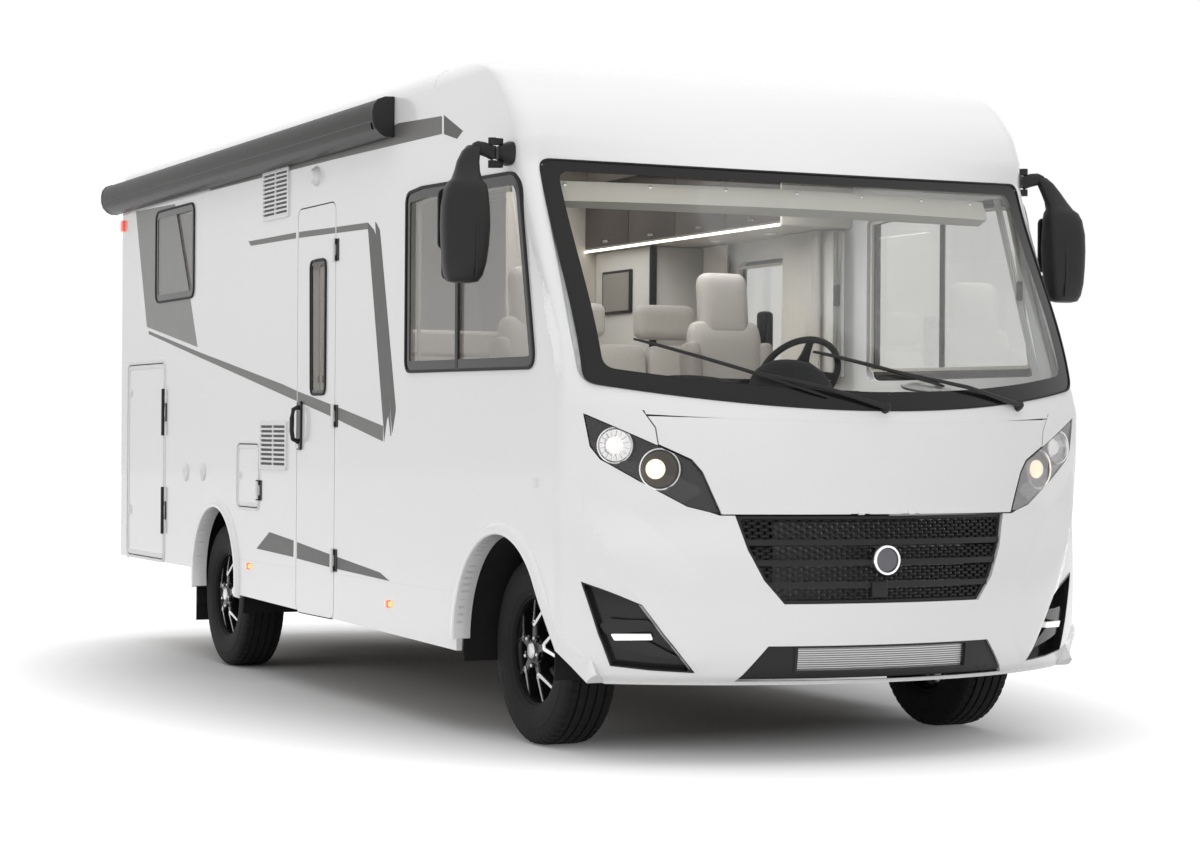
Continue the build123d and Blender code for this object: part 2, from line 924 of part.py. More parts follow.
with BuildPart() as hinge_leaves:
    for height in door_hinge_heights:
        wall_leaf(-1, door_front - door_gap / 2, height)
    wall_leaf(-1, hatch_front - door_gap / 2, hatch_hinge_height)
    for side, name in sides:
        for height in garage_hinge_heights:
            wall_leaf(side, garage_front - door_gap / 2, height)
finish(hinge_leaves, "hinge_leaves")

# ----------------------------------------------------------- roof and rear wall
with BuildPart() as roof:
    with BuildSketch(Plane.XZ.offset(-rear_face_y)):
        with BuildLine():
            Polyline(
                (-body_half_width, wall_top),
                (-body_half_width, roof_height),
                (body_half_width, roof_height),
                (body_half_width, wall_top),
                close=True,
            )
        make_face()
    extrude(amount=rear_face_y - roof_joint_y)
    with BuildSketch(Plane.XY.offset(wall_top)):
        with Locations((0, (roof_joint_y + rear_face_y) / 2 - rear_corner_radius)):
            depth = rear_face_y - roof_joint_y + 2 * rear_corner_radius
            RectangleRounded(2 * body_half_width, depth, rear_corner_radius)
    extrude(amount=roof_height - wall_top, mode=Mode.INTERSECT)
    top_edges = roof.faces().sort_by(Axis.Z)[-1].edges()
    front_edges = top_edges.group_by(Axis.Y)[0]
    fillet([edge for edge in top_edges if edge not in front_edges], roof_edge_radius - 1)
    with BuildSketch(Plane.XZ.offset(-(rear_face_y - side_wall))):
        with Locations((0, (wall_top + roof_height - side_wall) / 2)):
            Rectangle(2 * (body_half_width - roof_edge_radius), roof_height - side_wall - wall_top)
    extrude(amount=rear_face_y - side_wall - roof_joint_y, mode=Mode.SUBTRACT)
    with BuildSketch(Plane.XY.offset(wall_top)):
        for hatch_y, hatch_size in roof_hatches:
            with Locations((0, hatch_y)):
                Rectangle(hatch_size, hatch_size)
    extrude(amount=roof_height, mode=Mode.SUBTRACT)
finish(roof, "roof")

with BuildPart() as roof_hatch_frames:
    for hatch_y, hatch_size in roof_hatches:
        with BuildSketch(Plane.XY.offset(roof_height - side_wall)):
            with Locations((0, hatch_y)):
                Rectangle(hatch_size - 2 * seat_gap, hatch_size - 2 * seat_gap)
                Rectangle(hatch_size - 2 * hatch_rim, hatch_size - 2 * hatch_rim, mode=Mode.SUBTRACT)
        extrude(amount=side_wall + hatch_curb)
        hinge_y = hatch_y - hatch_size / 2 - lid_lap - knuckle_radius - moving_gap
        for end in (-1, 1):
            with Locations((end * hatch_hinge_x, hinge_y, lid_pivot_height)):
                Cylinder(pin_radius, 3 * lug_width, rotation=(0, 90, 0))
            for lug in (-1, 1):
                lug_x = end * hatch_hinge_x + lug * (lug_width + seat_gap)
                with Locations((lug_x, hinge_y, lid_pivot_height)):
                    Cylinder(knuckle_radius, lug_width, rotation=(0, 90, 0))
                lug_height = lid_pivot_height - roof_height
                with Locations((lug_x, hinge_y, roof_height + lug_height / 2)):
                    Box(lug_width, 2 * knuckle_radius, lug_height)
finish(roof_hatch_frames, "roof_hatch_frames")

for (hatch_y, hatch_size), lid_name in zip(roof_hatches, ("front", "rear")):
    with BuildPart() as lid:
        lid_size = hatch_size + 2 * lid_lap
        lid_foot = roof_height + hatch_curb + lid_gap
        with BuildSketch(Plane.XY.offset(lid_foot)):
            with Locations((0, hatch_y)):
                RectangleRounded(lid_size, lid_size, lid_corner)
        with BuildSketch(Plane.XY.offset(lid_foot + lid_rise)):
            with Locations((0, hatch_y)):
                RectangleRounded(lid_size - lid_rise * 2, lid_size - lid_rise * 2, lid_corner)
        loft()
        hinge_y = hatch_y - hatch_size / 2 - lid_lap - knuckle_radius - moving_gap
        arm_back = hatch_y - lid_size / 2 + lid_rise
        for end in (-1, 1):
            with Locations((end * hatch_hinge_x, (hinge_y + arm_back) / 2, lid_foot + leaf_width / 4)):
                Box(lug_width, arm_back - hinge_y, leaf_width / 2)
            with Locations((end * hatch_hinge_x, hinge_y, lid_pivot_height)):
                Cylinder(knuckle_radius, lug_width, rotation=(0, 90, 0))
                bore = pin_radius + running_gap
                Cylinder(bore, lug_width, rotation=(0, 90, 0), mode=Mode.SUBTRACT)
    finish(lid, f"roof_hatch_{lid_name}")

with BuildPart() as wall_rear:
    with BuildSketch(Plane.XY.offset(body_foot_rear)):
        with Locations((0, rear_face_y - overall_length / 4)):
            RectangleRounded(2 * body_half_width, overall_length / 2, rear_corner_radius)
            inner = rear_corner_radius - side_wall
            width = 2 * body_inside
            depth = overall_length / 2 - 2 * side_wall
            RectangleRounded(width, depth, inner, mode=Mode.SUBTRACT)
        with Locations((0, rear_wall_front - overall_length / 2)):
            Rectangle(overall_length, overall_length, mode=Mode.SUBTRACT)
    extrude(amount=wall_top - body_foot_rear)
finish(wall_rear, "wall_rear")

with BuildPart() as rear_bumper:
    with BuildSketch(Plane.XY.offset(bumper_foot)):
        with Locations((0, rear_face_y + rear_bumper_depth / 2)):
            Rectangle(2 * bumper_half_width, rear_bumper_depth)
    extrude(amount=bumper_top - bumper_foot)
    rear_edges = rear_bumper.faces().sort_by(Axis.Y)[-1].edges()
    fillet(rear_edges, rear_bumper_depth / 2)
finish(rear_bumper, "rear_bumper")

with BuildPart() as outer_lamps:
    for side, name in sides:
        for across, height, radius in tail_lamp_places:
            with Locations((side * across, rear_face_y + lamp_glass_depth / 2, height)):
                Cylinder(radius, lamp_glass_depth, rotation=(90, 0, 0))
        for marker_y, marker_z in marker_places:
            with Locations((side * (body_half_width + lamp_glass_depth / 2), marker_y, marker_z)):
                Cylinder(marker_radius, lamp_glass_depth, rotation=(0, 90, 0))
finish(outer_lamps, "outer_lamps")

# ---------------------------------------------------------------------- awning
with BuildPart() as awning:
    with BuildSketch(Plane.XZ.offset(-awning_rear)):
        with BuildLine():
            corners = [
                (-body_half_width - awning_reach * share, awning_foot + rise)
                for share, rise in awning_profile
            ]
            Polyline(*corners, close=True)
        make_face()
    extrude(amount=awning_rear - awning_front)
    long_edges = awning.edges().filter_by(Axis.Y)
    fillet(long_edges.sort_by(Axis.X)[:3], awning_round)
finish(awning, "awning")

# ------------------------------------------------------------ vents and markers
with BuildPart() as side_vents:
    for vent_front, vent_rear, vent_foot, vent_top, slots in vent_places:
        with BuildSketch(side_plane(-1, body_half_width + vent_proud, vent_proud)):
            add(side_rectangle(vent_front, vent_rear, vent_foot, vent_top, vent_corner))
            pitch = (vent_top - vent_foot) / (slots + 1)
            with Locations(((vent_front + vent_rear) / 2, (vent_foot + vent_top) / 2)):
                with GridLocations(1, pitch, 1, slots):
                    Rectangle(vent_rear - vent_front - 2 * pitch, pitch / 2, mode=Mode.SUBTRACT)
        extrude(amount=vent_proud)
    with Locations((-(body_half_width + cowl_depth / 2), cowl_place[0], cowl_place[1])):
        Cylinder(cowl_radius, cowl_depth, rotation=(0, 90, 0))
    for cap_y, cap_z in cap_places:
        with Locations((-(body_half_width + cap_depth / 2), cap_y, cap_z)):
            Cylinder(cap_radius, cap_depth, rotation=(0, 90, 0))
finish(side_vents, "side_vents")

# --------------------------------------------------------------------- mirrors
lug_offset = bracket_length / 2 - lug_width / 2

with BuildPart() as mirror_brackets:
    for side, name in sides:
        block_reach = mirror_pivot_x - mirror_knuckle - moving_gap - body_half_width
        with Locations((side * (body_half_width + block_reach / 2), mirror_y, bracket_height)):
            Box(block_reach, bracket_width, bracket_length)
        for end in (-1, 1):
            pivot_z = bracket_height + end * lug_offset
            lug_reach = mirror_pivot_x - body_half_width
            with Locations((side * (body_half_width + lug_reach / 2), mirror_y, pivot_z)):
                Box(lug_reach, 2 * mirror_knuckle, lug_width)
            with Locations((side * mirror_pivot_x, mirror_y, pivot_z)):
                Cylinder(mirror_knuckle, lug_width)
        with Locations((side * mirror_pivot_x, mirror_y, bracket_height)):
            Cylinder(mirror_pin, bracket_length)
finish(mirror_brackets, "mirror_brackets")

for side, name in sides:
    with BuildPart() as mirror:
        barrel_length = bracket_length - 2 * lug_width - 2 * seat_gap
        with Locations((side * mirror_pivot_x, mirror_y, bracket_height)):
            Cylinder(mirror_knuckle, barrel_length)
        with BuildSketch(Plane.XY.offset(arm_height - arm_depth / 2)):
            with BuildLine():
                Polyline(
                    (side * mirror_pivot_x, mirror_y - arm_thickness / 2),
                    (side * mirror_pivot_x, mirror_y + arm_thickness / 2),
                    (side * mirror_head_x, mirror_head_y + arm_thickness / 2),
                    (side * (mirror_head_x + neck_width / 2), mirror_head_y + arm_thickness / 2),
                    (side * (mirror_head_x + neck_width / 2), mirror_head_y - arm_thickness / 2),
                    (side * mirror_head_x, mirror_head_y - arm_thickness / 2),
                    close=True,
                )
            make_face()
        extrude(amount=arm_depth)
        with BuildSketch(Plane.XY.offset(mirror_head_foot)):
            with Locations((side * mirror_head_x, mirror_head_y)):
                RectangleRounded(mirror_width, mirror_thickness, mirror_round)
        extrude(amount=mirror_head_top - mirror_head_foot)
        neck_height = arm_height + arm_depth / 2 - mirror_head_top
        with Locations((side * mirror_head_x, mirror_head_y, mirror_head_top + neck_height / 2)):
            Box(neck_width, arm_thickness, neck_height)
        with Locations((side * mirror_pivot_x, mirror_y, bracket_height)):
            Cylinder(mirror_pin + running_gap, bracket_length, mode=Mode.SUBTRACT)
    finish(mirror, f"mirror_{name}")

# ---------------------------------------------------------------------- wipers
with BuildPart() as wiper_bosses:
    nose_skin(-wiper_rise - wiper_thickness, 0)
    with BuildSketch(front_view):
        for pivot, elbow, tip in wiper_lines:
            with Locations(pivot):
                Circle(wiper_boss)
    extrude(amount=nose_reach, mode=Mode.INTERSECT)

with BuildPart() as wipers:
    nose_skin(-wiper_rise - wiper_thickness, -wiper_rise)
    with BuildSketch(front_view):
        for pivot, elbow, tip in wiper_lines:
            with BuildLine():
                blade = ThreePointArc(pivot, elbow, tip)
            trace(blade, line_width=wiper_width)
    extrude(amount=nose_reach, mode=Mode.INTERSECT)
    add(wiper_bosses.part)
finish(wipers, "wipers")

# ---------------------------------------------------------------------- wheels
wheel_places = [
    ("front_right", -front_track / 2, front_axle_y),
    ("front_left", front_track / 2, front_axle_y),
    ("rear_right", -rear_track / 2, rear_axle_y),
    ("rear_left", rear_track / 2, rear_axle_y),
]

for name, wheel_x, wheel_y in wheel_places:
    side = 1 if wheel_x > 0 else -1
    axle = Plane(origin=(wheel_x, wheel_y, axle_height), x_dir=(side, 0, 0), z_dir=(0, -side, 0))
    face = Plane(origin=(wheel_x, wheel_y, axle_height), x_dir=(0, side, 0), z_dir=(side, 0, 0))
    with BuildPart() as tyre:
        with BuildSketch(axle):
            with BuildLine():
                Polyline(
                    (-bead_width, rim_radius + seat_gap),
                    (-tyre_width / 2, (rim_radius + tyre_radius) / 2),
                    (-tyre_width / 2, shoulder_radius - shoulder_drop),
                    (-tread_edge, shoulder_radius + shoulder_drop / 2),
                    (-tread_edge / 2, tyre_radius),
                    (tread_edge / 2, tyre_radius),
                    (tread_edge, shoulder_radius + shoulder_drop / 2),
                    (tyre_width / 2, shoulder_radius - shoulder_drop),
                    (tyre_width / 2, (rim_radius + tyre_radius) / 2),
                    (bead_width, rim_radius + seat_gap),
                    close=True,
                )
            make_face()
        revolve(axis=Axis((wheel_x, wheel_y, axle_height), (1, 0, 0)))
    finish(tyre, f"tyre_{name}")

    with BuildPart() as rim:
        with BuildSketch(axle):
            with BuildLine():
                Polyline(
                    (-rim_width / 2, rim_barrel_radius),
                    (-rim_width / 2, rim_radius),
                    (rim_width / 2, rim_radius),
                    (rim_width / 2, rim_barrel_radius + rim_lip),
                    (rim_face_offset, rim_barrel_radius),
                    close=True,
                )
            make_face()
        revolve(axis=Axis((wheel_x, wheel_y, axle_height), (1, 0, 0)))
        with BuildSketch(face.offset(rim_face_offset - spoke_depth)):
            Circle(hub_radius)
            for pair in range(spoke_pairs):
                for lean in (-1, 1):
                    angle = 90 + pair * 360 / spoke_pairs + lean * spoke_spread
                    with Locations(Rotation(0, 0, angle)):
                        with Locations((rim_barrel_radius / 2, 0)):
                            Rectangle(rim_barrel_radius + rim_lip, spoke_width)
            Circle(rim_barrel_radius + rim_lip / 2, mode=Mode.INTERSECT)
        extrude(amount=spoke_depth)
        with BuildSketch(face.offset(rim_face_offset - spoke_depth - hub_depth)):
            Circle(hub_radius)
        extrude(amount=hub_depth)
        with BuildSketch(face.offset(rim_face_offset - spoke_depth - hub_depth)):
            Circle(hub_bore + running_gap)
        extrude(amount=hub_depth, mode=Mode.SUBTRACT)
    finish(rim, f"rim_{name}")

# --------------------------------------------------- front knuckles and axles
for side, name in sides:
    wheel_x = side * front_track / 2
    with BuildPart() as knuckle:
        upright_middle = (upright_foot + upright_top) / 2
        with Locations((side * kingpin_x, front_axle_y, upright_middle)):
            Box(upright_width, upright_depth, upright_top - upright_foot)
            Cylinder(kingpin_radius + running_gap, upright_top, mode=Mode.SUBTRACT)
        disc_start = kingpin_x + upright_width / 2
        disc_middle = disc_start + disc_standoff + disc_thickness / 2
        with Locations((side * (disc_start + disc_standoff / 2), front_axle_y, axle_height)):
            Cylinder(disc_flange, disc_standoff, rotation=(0, 90, 0))
        with Locations((side * disc_middle, front_axle_y, axle_height)):
            Cylinder(disc_radius, disc_thickness, rotation=(0, 90, 0))
        stub_end = front_track / 2 + rim_face_offset - spoke_depth - stub_gap
        stub_length = stub_end - disc_start
        with Locations((side * (disc_start + stub_length / 2), front_axle_y, axle_height)):
            Cylinder(hub_bore, stub_length, rotation=(0, 90, 0))
        with Locations((side * disc_middle, front_axle_y + disc_radius, axle_height)):
            Box(*caliper)
    finish(knuckle, f"knuckle_{name}")

with BuildPart() as axles:
    for side, name in sides:
        for foot, top in (lower_arm, upper_arm):
            inner = front_rail_x - front_rail_width / 2
            if top > rail_foot:
                inner = front_rail_x + front_rail_width / 2
            with Locations((side * (inner + kingpin_x) / 2, front_axle_y, (foot + top) / 2)):
                Box(kingpin_x - inner, arm_length_y, top - foot)
            with Locations((side * kingpin_x, front_axle_y, (foot + top) / 2)):
                Cylinder(arm_length_y / 2, top - foot)
        pin_foot = (lower_arm[0] + lower_arm[1]) / 2
        pin_top = (upper_arm[0] + upper_arm[1]) / 2
        with Locations((side * kingpin_x, front_axle_y, (pin_foot + pin_top) / 2)):
            Cylinder(kingpin_radius, pin_top - pin_foot)
        with Locations((side * front_rail_x, front_axle_y, (lower_arm[0] + rail_foot) / 2)):
            Box(front_rail_width, 2 * arm_length_y, rail_foot - lower_arm[0])
        stub_end = rear_track / 2 + rim_face_offset - spoke_depth - stub_gap
        stub_start = rail_x + rail_width
        with Locations((side * (stub_start + stub_end) / 2, rear_axle_y, axle_height)):
            Cylinder(hub_bore, stub_end - stub_start, rotation=(0, 90, 0))
        block_x = rear_track / 2 - hub_depth - disc_thickness
        with Locations((side * (block_x - disc_thickness), rear_axle_y, axle_height)):
            Cylinder(disc_radius, disc_thickness, rotation=(0, 90, 0))
    beam_length = rear_track - 2 * (hub_depth + 2 * disc_thickness)
    with Locations((0, rear_axle_y, axle_height - rear_beam_drop)):
        Cylinder(rear_beam_radius, beam_length, rotation=(0, 90, 0))
    for side, name in sides:
        with Locations((side * rail_x, rear_axle_y, rail_foot - spring_seat / 2)):
            Box(rail_width, rear_hub_block, spring_seat)
finish(axles, "axles")

with BuildPart() as chassis_frame:
    rail_middle = (rail_foot + rail_top) / 2
    rail_depth = rail_top - rail_foot
    for side, name in sides:
        with Locations((side * front_rail_x, (front_rail_end + rail_step) / 2, rail_middle)):
            Box(front_rail_width, rail_step - front_rail_end, rail_depth)
        with Locations((side * rail_x, (rail_step + rail_rear) / 2 - crossmember_width, rail_middle)):
            Box(rail_width, rail_rear - rail_step, rail_depth)
        for place in outriggers:
            reach = body_inside - seat_gap - rail_x
            with Locations((side * (rail_x + reach / 2), place, rail_top - rail_depth / 4)):
                Box(reach, crossmember_width, rail_depth / 2)
            with Locations((side * rail_x, place, (rail_top + outrigger_top) / 2)):
                Box(2 * rail_width, crossmember_width, outrigger_top - rail_top)
        for place in jack_places:
            with Locations((side * rail_x, place, rail_foot - jack_pad[2] / 2)):
                Box(*jack_pad)
        for place in tow_bolts:
            with Locations((side * rail_x, place, rail_middle)):
                Cylinder(tow_bolt_radius, 2 * rail_width, rotation=(0, 90, 0), mode=Mode.SUBTRACT)
    for place in crossmembers:
        with Locations((0, place, rail_middle)):
            Box(2 * rail_x, crossmember_width, rail_depth / 2)
finish(chassis_frame, "chassis_frame")

with BuildPart() as engine_block:
    width, length, height = engine_size
    across, along, foot = engine_place
    with Locations((across, along, foot + height / 2)):
        Box(width, length, height)
    for side, name in sides:
        reach = front_rail_x - front_rail_width / 2 - width / 2 - seat_gap
        with Locations((side * (width / 2 + reach / 2), along, foot + crossmember_width / 4)):
            Box(reach, crossmember_width, crossmember_width / 2)
    width, length, height = radiator_size
    with Locations((0, radiator_y, rail_top + height / 2)):
        Box(width, length, height)
finish(engine_block, "engine_block")

# ---------------------------------------------------------------- wheel liners
with BuildPart() as wheel_liners:
    liners = [
        (front_arch_y, front_arch_height, front_liner_radius, front_liner_inner),
        (rear_liner_place[0], rear_liner_place[1], rear_liner_radius, rear_liner_inner),
    ]
    for side, name in sides:
        for middle_y, middle_z, radius, inner_x in liners:
            reach = body_inside - seat_gap - inner_x
            with BuildSketch(side_plane(side, body_inside - seat_gap, reach)):
                with Locations((middle_y, middle_z)):
                    Circle(radius + liner_wall)
                    Circle(radius, mode=Mode.SUBTRACT)
                add(ground_block(liner_foot), mode=Mode.SUBTRACT)
            extrude(amount=reach)
            with BuildSketch(side_plane(side, inner_x, liner_wall)):
                with Locations((middle_y, middle_z)):
                    Circle(radius + liner_wall)
                add(ground_block(liner_foot), mode=Mode.SUBTRACT)
                with Locations((middle_y, (liner_foot + liner_window[1]) / 2)):
                    opening = liner_window[1] - liner_foot
                    Rectangle(2 * liner_window[0], opening, mode=Mode.SUBTRACT)
            extrude(amount=liner_wall)
        flap_y = rear_liner_place[0] + rear_liner_radius + liner_wall + mudflap_thickness / 2
        flap_x = side * (body_inside - seat_gap - mudflap_width / 2)
        flap_top = rear_liner_place[1]
        with Locations((flap_x, flap_y, (mudflap_foot + flap_top) / 2)):
            Box(mudflap_width, mudflap_thickness, flap_top - mudflap_foot)
finish(wheel_liners, "wheel_liners")

# ------------------------------------------------------------- floor and inside
with BuildPart() as floor:
    side_limit = body_inside - seat_gap
    floor_length = bulkhead_y[0] - floor_front
    with BuildSketch(Plane.XY.offset(floor_foot)):
        with Locations((0, floor_front + floor_length / 2)):
            Rectangle(2 * side_limit, floor_length)
        for side, name in sides:
            with Locations((side * (wheelbox_front_x + body_half_width / 2), front_arch_y)):
                Rectangle(body_half_width, 2 * wheelbox_reach, mode=Mode.SUBTRACT)
            with Locations((side * (wheelbox_rear_x + body_half_width / 2), rear_liner_place[0])):
                Rectangle(body_half_width, 2 * rear_box_reach, mode=Mode.SUBTRACT)
        with Locations((-side_limit, (door_front + door_rear) / 2)):
            Rectangle(2 * step_depth, door_rear - door_front + 2 * floor_margin, mode=Mode.SUBTRACT)
    extrude(amount=floor_top - floor_foot)
finish(floor, "floor")

with BuildPart() as entry_step:
    step_edge = step_depth - side_limit
    step_length = door_rear - door_front
    step_y = (door_front + door_rear) / 2
    riser_foot = step_top - step_wall
    with Locations((step_edge - step_wall / 2, step_y, (riser_foot + floor_top) / 2)):
        Box(step_wall, step_length, floor_top - riser_foot)
    tread_x = step_edge - step_depth / 2 + floor_margin
    with Locations((tread_x, step_y, step_top - step_wall / 2)):
        Box(step_depth - 2 * floor_margin, step_length, step_wall)
finish(entry_step, "entry_step")

with BuildPart() as firewall:
    with Locations((0, floor_front + step_wall / 2, (floor_top + firewall_top) / 2)):
        Box(2 * wheelbox_front_x, step_wall, firewall_top - floor_top)
finish(firewall, "firewall")

with BuildPart() as bulkhead:
    with Locations((0, (bulkhead_y[0] + bulkhead_y[1]) / 2, (garage_floor_foot + bed_foot) / 2)):
        Box(2 * side_limit, bulkhead_y[1] - bulkhead_y[0], bed_foot - garage_floor_foot)
finish(bulkhead, "bulkhead")

with BuildPart() as garage_floor:
    garage_length = rear_wall_front - bulkhead_y[1]
    with BuildSketch(Plane.XY.offset(garage_floor_foot)):
        with Locations((0, bulkhead_y[1] + garage_length / 2)):
            Rectangle(2 * (side_limit - floor_margin), garage_length)
    extrude(amount=garage_floor_top - garage_floor_foot)
finish(garage_floor, "garage_floor")

with BuildPart() as dashboard:
    nose_solid(dash_inset)
    with BuildSketch(Plane.XY.offset(dash_foot)):
        with Locations((0, (front_axle_y - front_overhang + dash_rear) / 2)):
            Rectangle(2 * (body_inside - floor_margin), dash_rear - front_axle_y + front_overhang)
    extrude(amount=dash_top - dash_foot, mode=Mode.INTERSECT)
    width, length, height = hood_size
    with Locations((steering_x, dash_rear - length / 2, dash_top + height / 2)):
        Box(width, length, height)
    tilt = radians(steering_tilt)
    column_start = hub_radius + column_gap
    middle = column_start + column_length / 2
    column_y = steering_y - middle * cos(tilt)
    column_z = steering_z - middle * sin(tilt)
    with Locations(Pos(steering_x, column_y, column_z) * Rotation(steering_tilt - 90, 0, 0)):
        Cylinder(column_radius, column_length)
    shaft_start = hub_depth / 2 + seat_gap
    shaft_length = column_length + column_start - shaft_start
    middle = shaft_start + shaft_length / 2
    shaft_y = steering_y - middle * cos(tilt)
    shaft_z = steering_z - middle * sin(tilt)
    with Locations(Pos(steering_x, shaft_y, shaft_z) * Rotation(steering_tilt - 90, 0, 0)):
        Cylinder(steering_shaft, shaft_length)
finish(dashboard, "dashboard")

wheel_axis = (0, cos(tilt), sin(tilt))
wheel_plane = Plane(origin=(steering_x, steering_y, steering_z), x_dir=(1, 0, 0), z_dir=wheel_axis)

with BuildPart() as steering_wheel:
    with BuildSketch(Plane(origin=wheel_plane.origin, x_dir=(1, 0, 0), z_dir=wheel_plane.y_dir)):
        with Locations((steering_ring, 0)):
            Circle(steering_grip)
    revolve(axis=Axis(wheel_plane.origin, wheel_axis))
    with BuildSketch(wheel_plane.offset(-hub_depth)):
        Circle(hub_radius)
    extrude(amount=hub_depth)
    with BuildSketch(wheel_plane.offset(-steering_grip / 2)):
        for angle in (0, 180, 270):
            with Locations(Rotation(0, 0, angle)):
                with Locations((steering_ring / 2, 0)):
                    Rectangle(steering_ring, 2 * spoke_depth)
    extrude(amount=steering_grip)
    with BuildSketch(wheel_plane.offset(-hub_depth)):
        Circle(steering_shaft + running_gap)
    extrude(amount=hub_depth / 2, mode=Mode.SUBTRACT)
finish(steering_wheel, "steering_wheel")

def padded(width, length, height, corner):
    """Upholstered block, all its edges rounded."""
    with BuildPart() as pad:
        Box(width, length, height)
        fillet(pad.edges(), corner)
    return pad.part

with BuildPart() as seats:
    cushion_front, cushion_back, cushion_foot, cushion_top = seat_cushion
    cushion_length = cushion_back - cushion_front
    cushion_y = (cushion_front + cushion_back) / 2
    back_y = cushion_back - seat_back_thickness / 2
    back_foot = cushion_top - seat_round
    head_width, head_length, head_height = headrest_size
    for side, name in sides:
        middle_x = side * seat_x
        with Locations((middle_x, cushion_y, (cushion_foot + cushion_top) / 2)):
            add(padded(seat_width, cushion_length, cushion_top - cushion_foot, seat_round))
        base_width = seat_width - 2 * seat_base_inset
        base_length = cushion_length - 2 * seat_base_inset
        with Locations((middle_x, cushion_y, (floor_top + cushion_foot + seat_round) / 2)):
            Box(base_width, base_length, cushion_foot + seat_round - floor_top)
        with Locations((middle_x, back_y, (back_foot + seat_back_top) / 2)):
            add(padded(seat_back_width, seat_back_thickness, seat_back_top - back_foot, seat_round))
        with Locations((middle_x, back_y, seat_back_top + head_height / 2 - seat_round / 2)):
            add(padded(head_width, head_length, head_height, seat_round))
    bench_middle_x = (bench_x[0] + bench_x[1]) / 2
    bench_middle_y = (bench_y[0] + bench_y[1]) / 2
    bench_width = bench_x[1] - bench_x[0]
    bench_length = bench_y[1] - bench_y[0]
    bench_base_top = bench_seat_top - bench_cushion
    with Locations((bench_middle_x, bench_middle_y, (floor_top + bench_base_top + seat_round) / 2)):
        base_length = bench_length - 2 * seat_round
        Box(bench_width - 2 * seat_round, base_length, bench_base_top + seat_round - floor_top)
    with Locations((bench_middle_x, bench_middle_y, bench_seat_top - bench_cushion / 2)):
        add(padded(bench_width, bench_length, bench_cushion, seat_round))
    bench_back_y = bench_y[1] - bench_back_thickness / 2
    bench_back_foot = bench_seat_top - seat_round
    with Locations((bench_middle_x, bench_back_y, (bench_back_foot + bench_back_top) / 2)):
        height = bench_back_top - bench_back_foot
        add(padded(bench_width, bench_back_thickness, height, seat_round))
    for across, width in bench_headrests:
        foot = bench_back_top - seat_round
        with Locations((across, bench_back_y, (foot + bench_headrest_top) / 2)):
            add(padded(width, head_length, bench_headrest_top - foot, seat_round))
finish(seats, "seats")

def block(low_x, high_x, low_y, high_y, low_z, high_z):
    with Locations(((low_x + high_x) / 2, (low_y + high_y) / 2, (low_z + high_z) / 2)):
        Box(high_x - low_x, high_y - low_y, high_z - low_z)

with BuildPart() as blind_cassette:
    nose_skin(nose_wall + seat_gap, nose_wall + blind_depth)
    with BuildSketch(front_view):
        with Locations((0, blind_middle)):
            Rectangle(blind_width, blind_height)
    extrude(amount=nose_reach, mode=Mode.INTERSECT)

with BuildPart() as furniture:
    inside = body_inside - seat_gap
    block(locker_x[0], inside, *locker_y, *locker_z)
    block(-inside, right_locker_x[1], *right_locker_y, *locker_z)
    block(*kitchen_x, *kitchen_y, floor_top, kitchen_top)
    block(partition_x[0], inside, *partition_y, floor_top, wall_top)
    block(-inside, -partition_x[0], *partition_y, floor_top, wall_top)
    add(blind_cassette.part)
finish(furniture, "furniture")

with BuildPart() as rear_bed:
    bed_rear = rear_wall_front - bed_rear_gap
    platform_top = bed_foot + bed_platform
    block(-inside, inside, bulkhead_y[0], rear_wall_front, bed_foot, platform_top)
    mattress_width = 2 * (inside - bed_rear_gap)
    mattress_y = (bulkhead_y[0] + bed_rear) / 2
    with Locations((0, mattress_y, platform_top + bed_thickness / 2)):
        add(padded(mattress_width, bed_rear - bulkhead_y[0], bed_thickness, seat_round))
finish(rear_bed, "rear_bed")
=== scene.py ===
import math

import bmesh
import bpy
import numpy as np
from mathutils import Matrix, Vector


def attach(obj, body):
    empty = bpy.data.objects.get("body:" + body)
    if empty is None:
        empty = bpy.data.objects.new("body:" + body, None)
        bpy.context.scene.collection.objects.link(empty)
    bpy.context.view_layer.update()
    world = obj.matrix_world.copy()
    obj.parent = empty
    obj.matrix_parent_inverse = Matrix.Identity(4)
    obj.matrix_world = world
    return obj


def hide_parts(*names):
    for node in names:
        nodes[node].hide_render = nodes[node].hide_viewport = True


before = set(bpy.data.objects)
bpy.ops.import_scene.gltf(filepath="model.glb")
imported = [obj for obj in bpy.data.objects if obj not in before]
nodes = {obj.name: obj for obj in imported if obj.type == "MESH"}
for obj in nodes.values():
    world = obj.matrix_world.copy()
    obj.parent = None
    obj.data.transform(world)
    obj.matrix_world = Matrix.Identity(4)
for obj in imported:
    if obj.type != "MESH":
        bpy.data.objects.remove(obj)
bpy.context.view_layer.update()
scene = bpy.context.scene

AXLE = -2.38          # y of the front axle
WHEELBASE = 3.8
HALF = 1.16           # half width of the body
ROOF = 2.74           # z of the roof's top
FLOOR = 0.602          # z of the cabin floor's top
ROOT = "motorhome"
SIDES = ((-1, "right"), (1, "left"))


def aft(d):
    """y of a place this far behind the front axle."""
    return AXLE + d


def span(side, a, b):
    """Two distances from the middle as x on one side, the lower first."""
    return sorted((side * a, side * b))


def turns(n):
    """Angles of n equal steps round a circle."""
    return [2 * math.pi * k / n for k in range(n)]


# ---- materials
def tree(name):
    m = bpy.data.materials.new(name)
    m.use_nodes = True
    t = m.node_tree
    t.nodes.clear()
    out = t.nodes.new("ShaderNodeOutputMaterial")
    return m, t, out


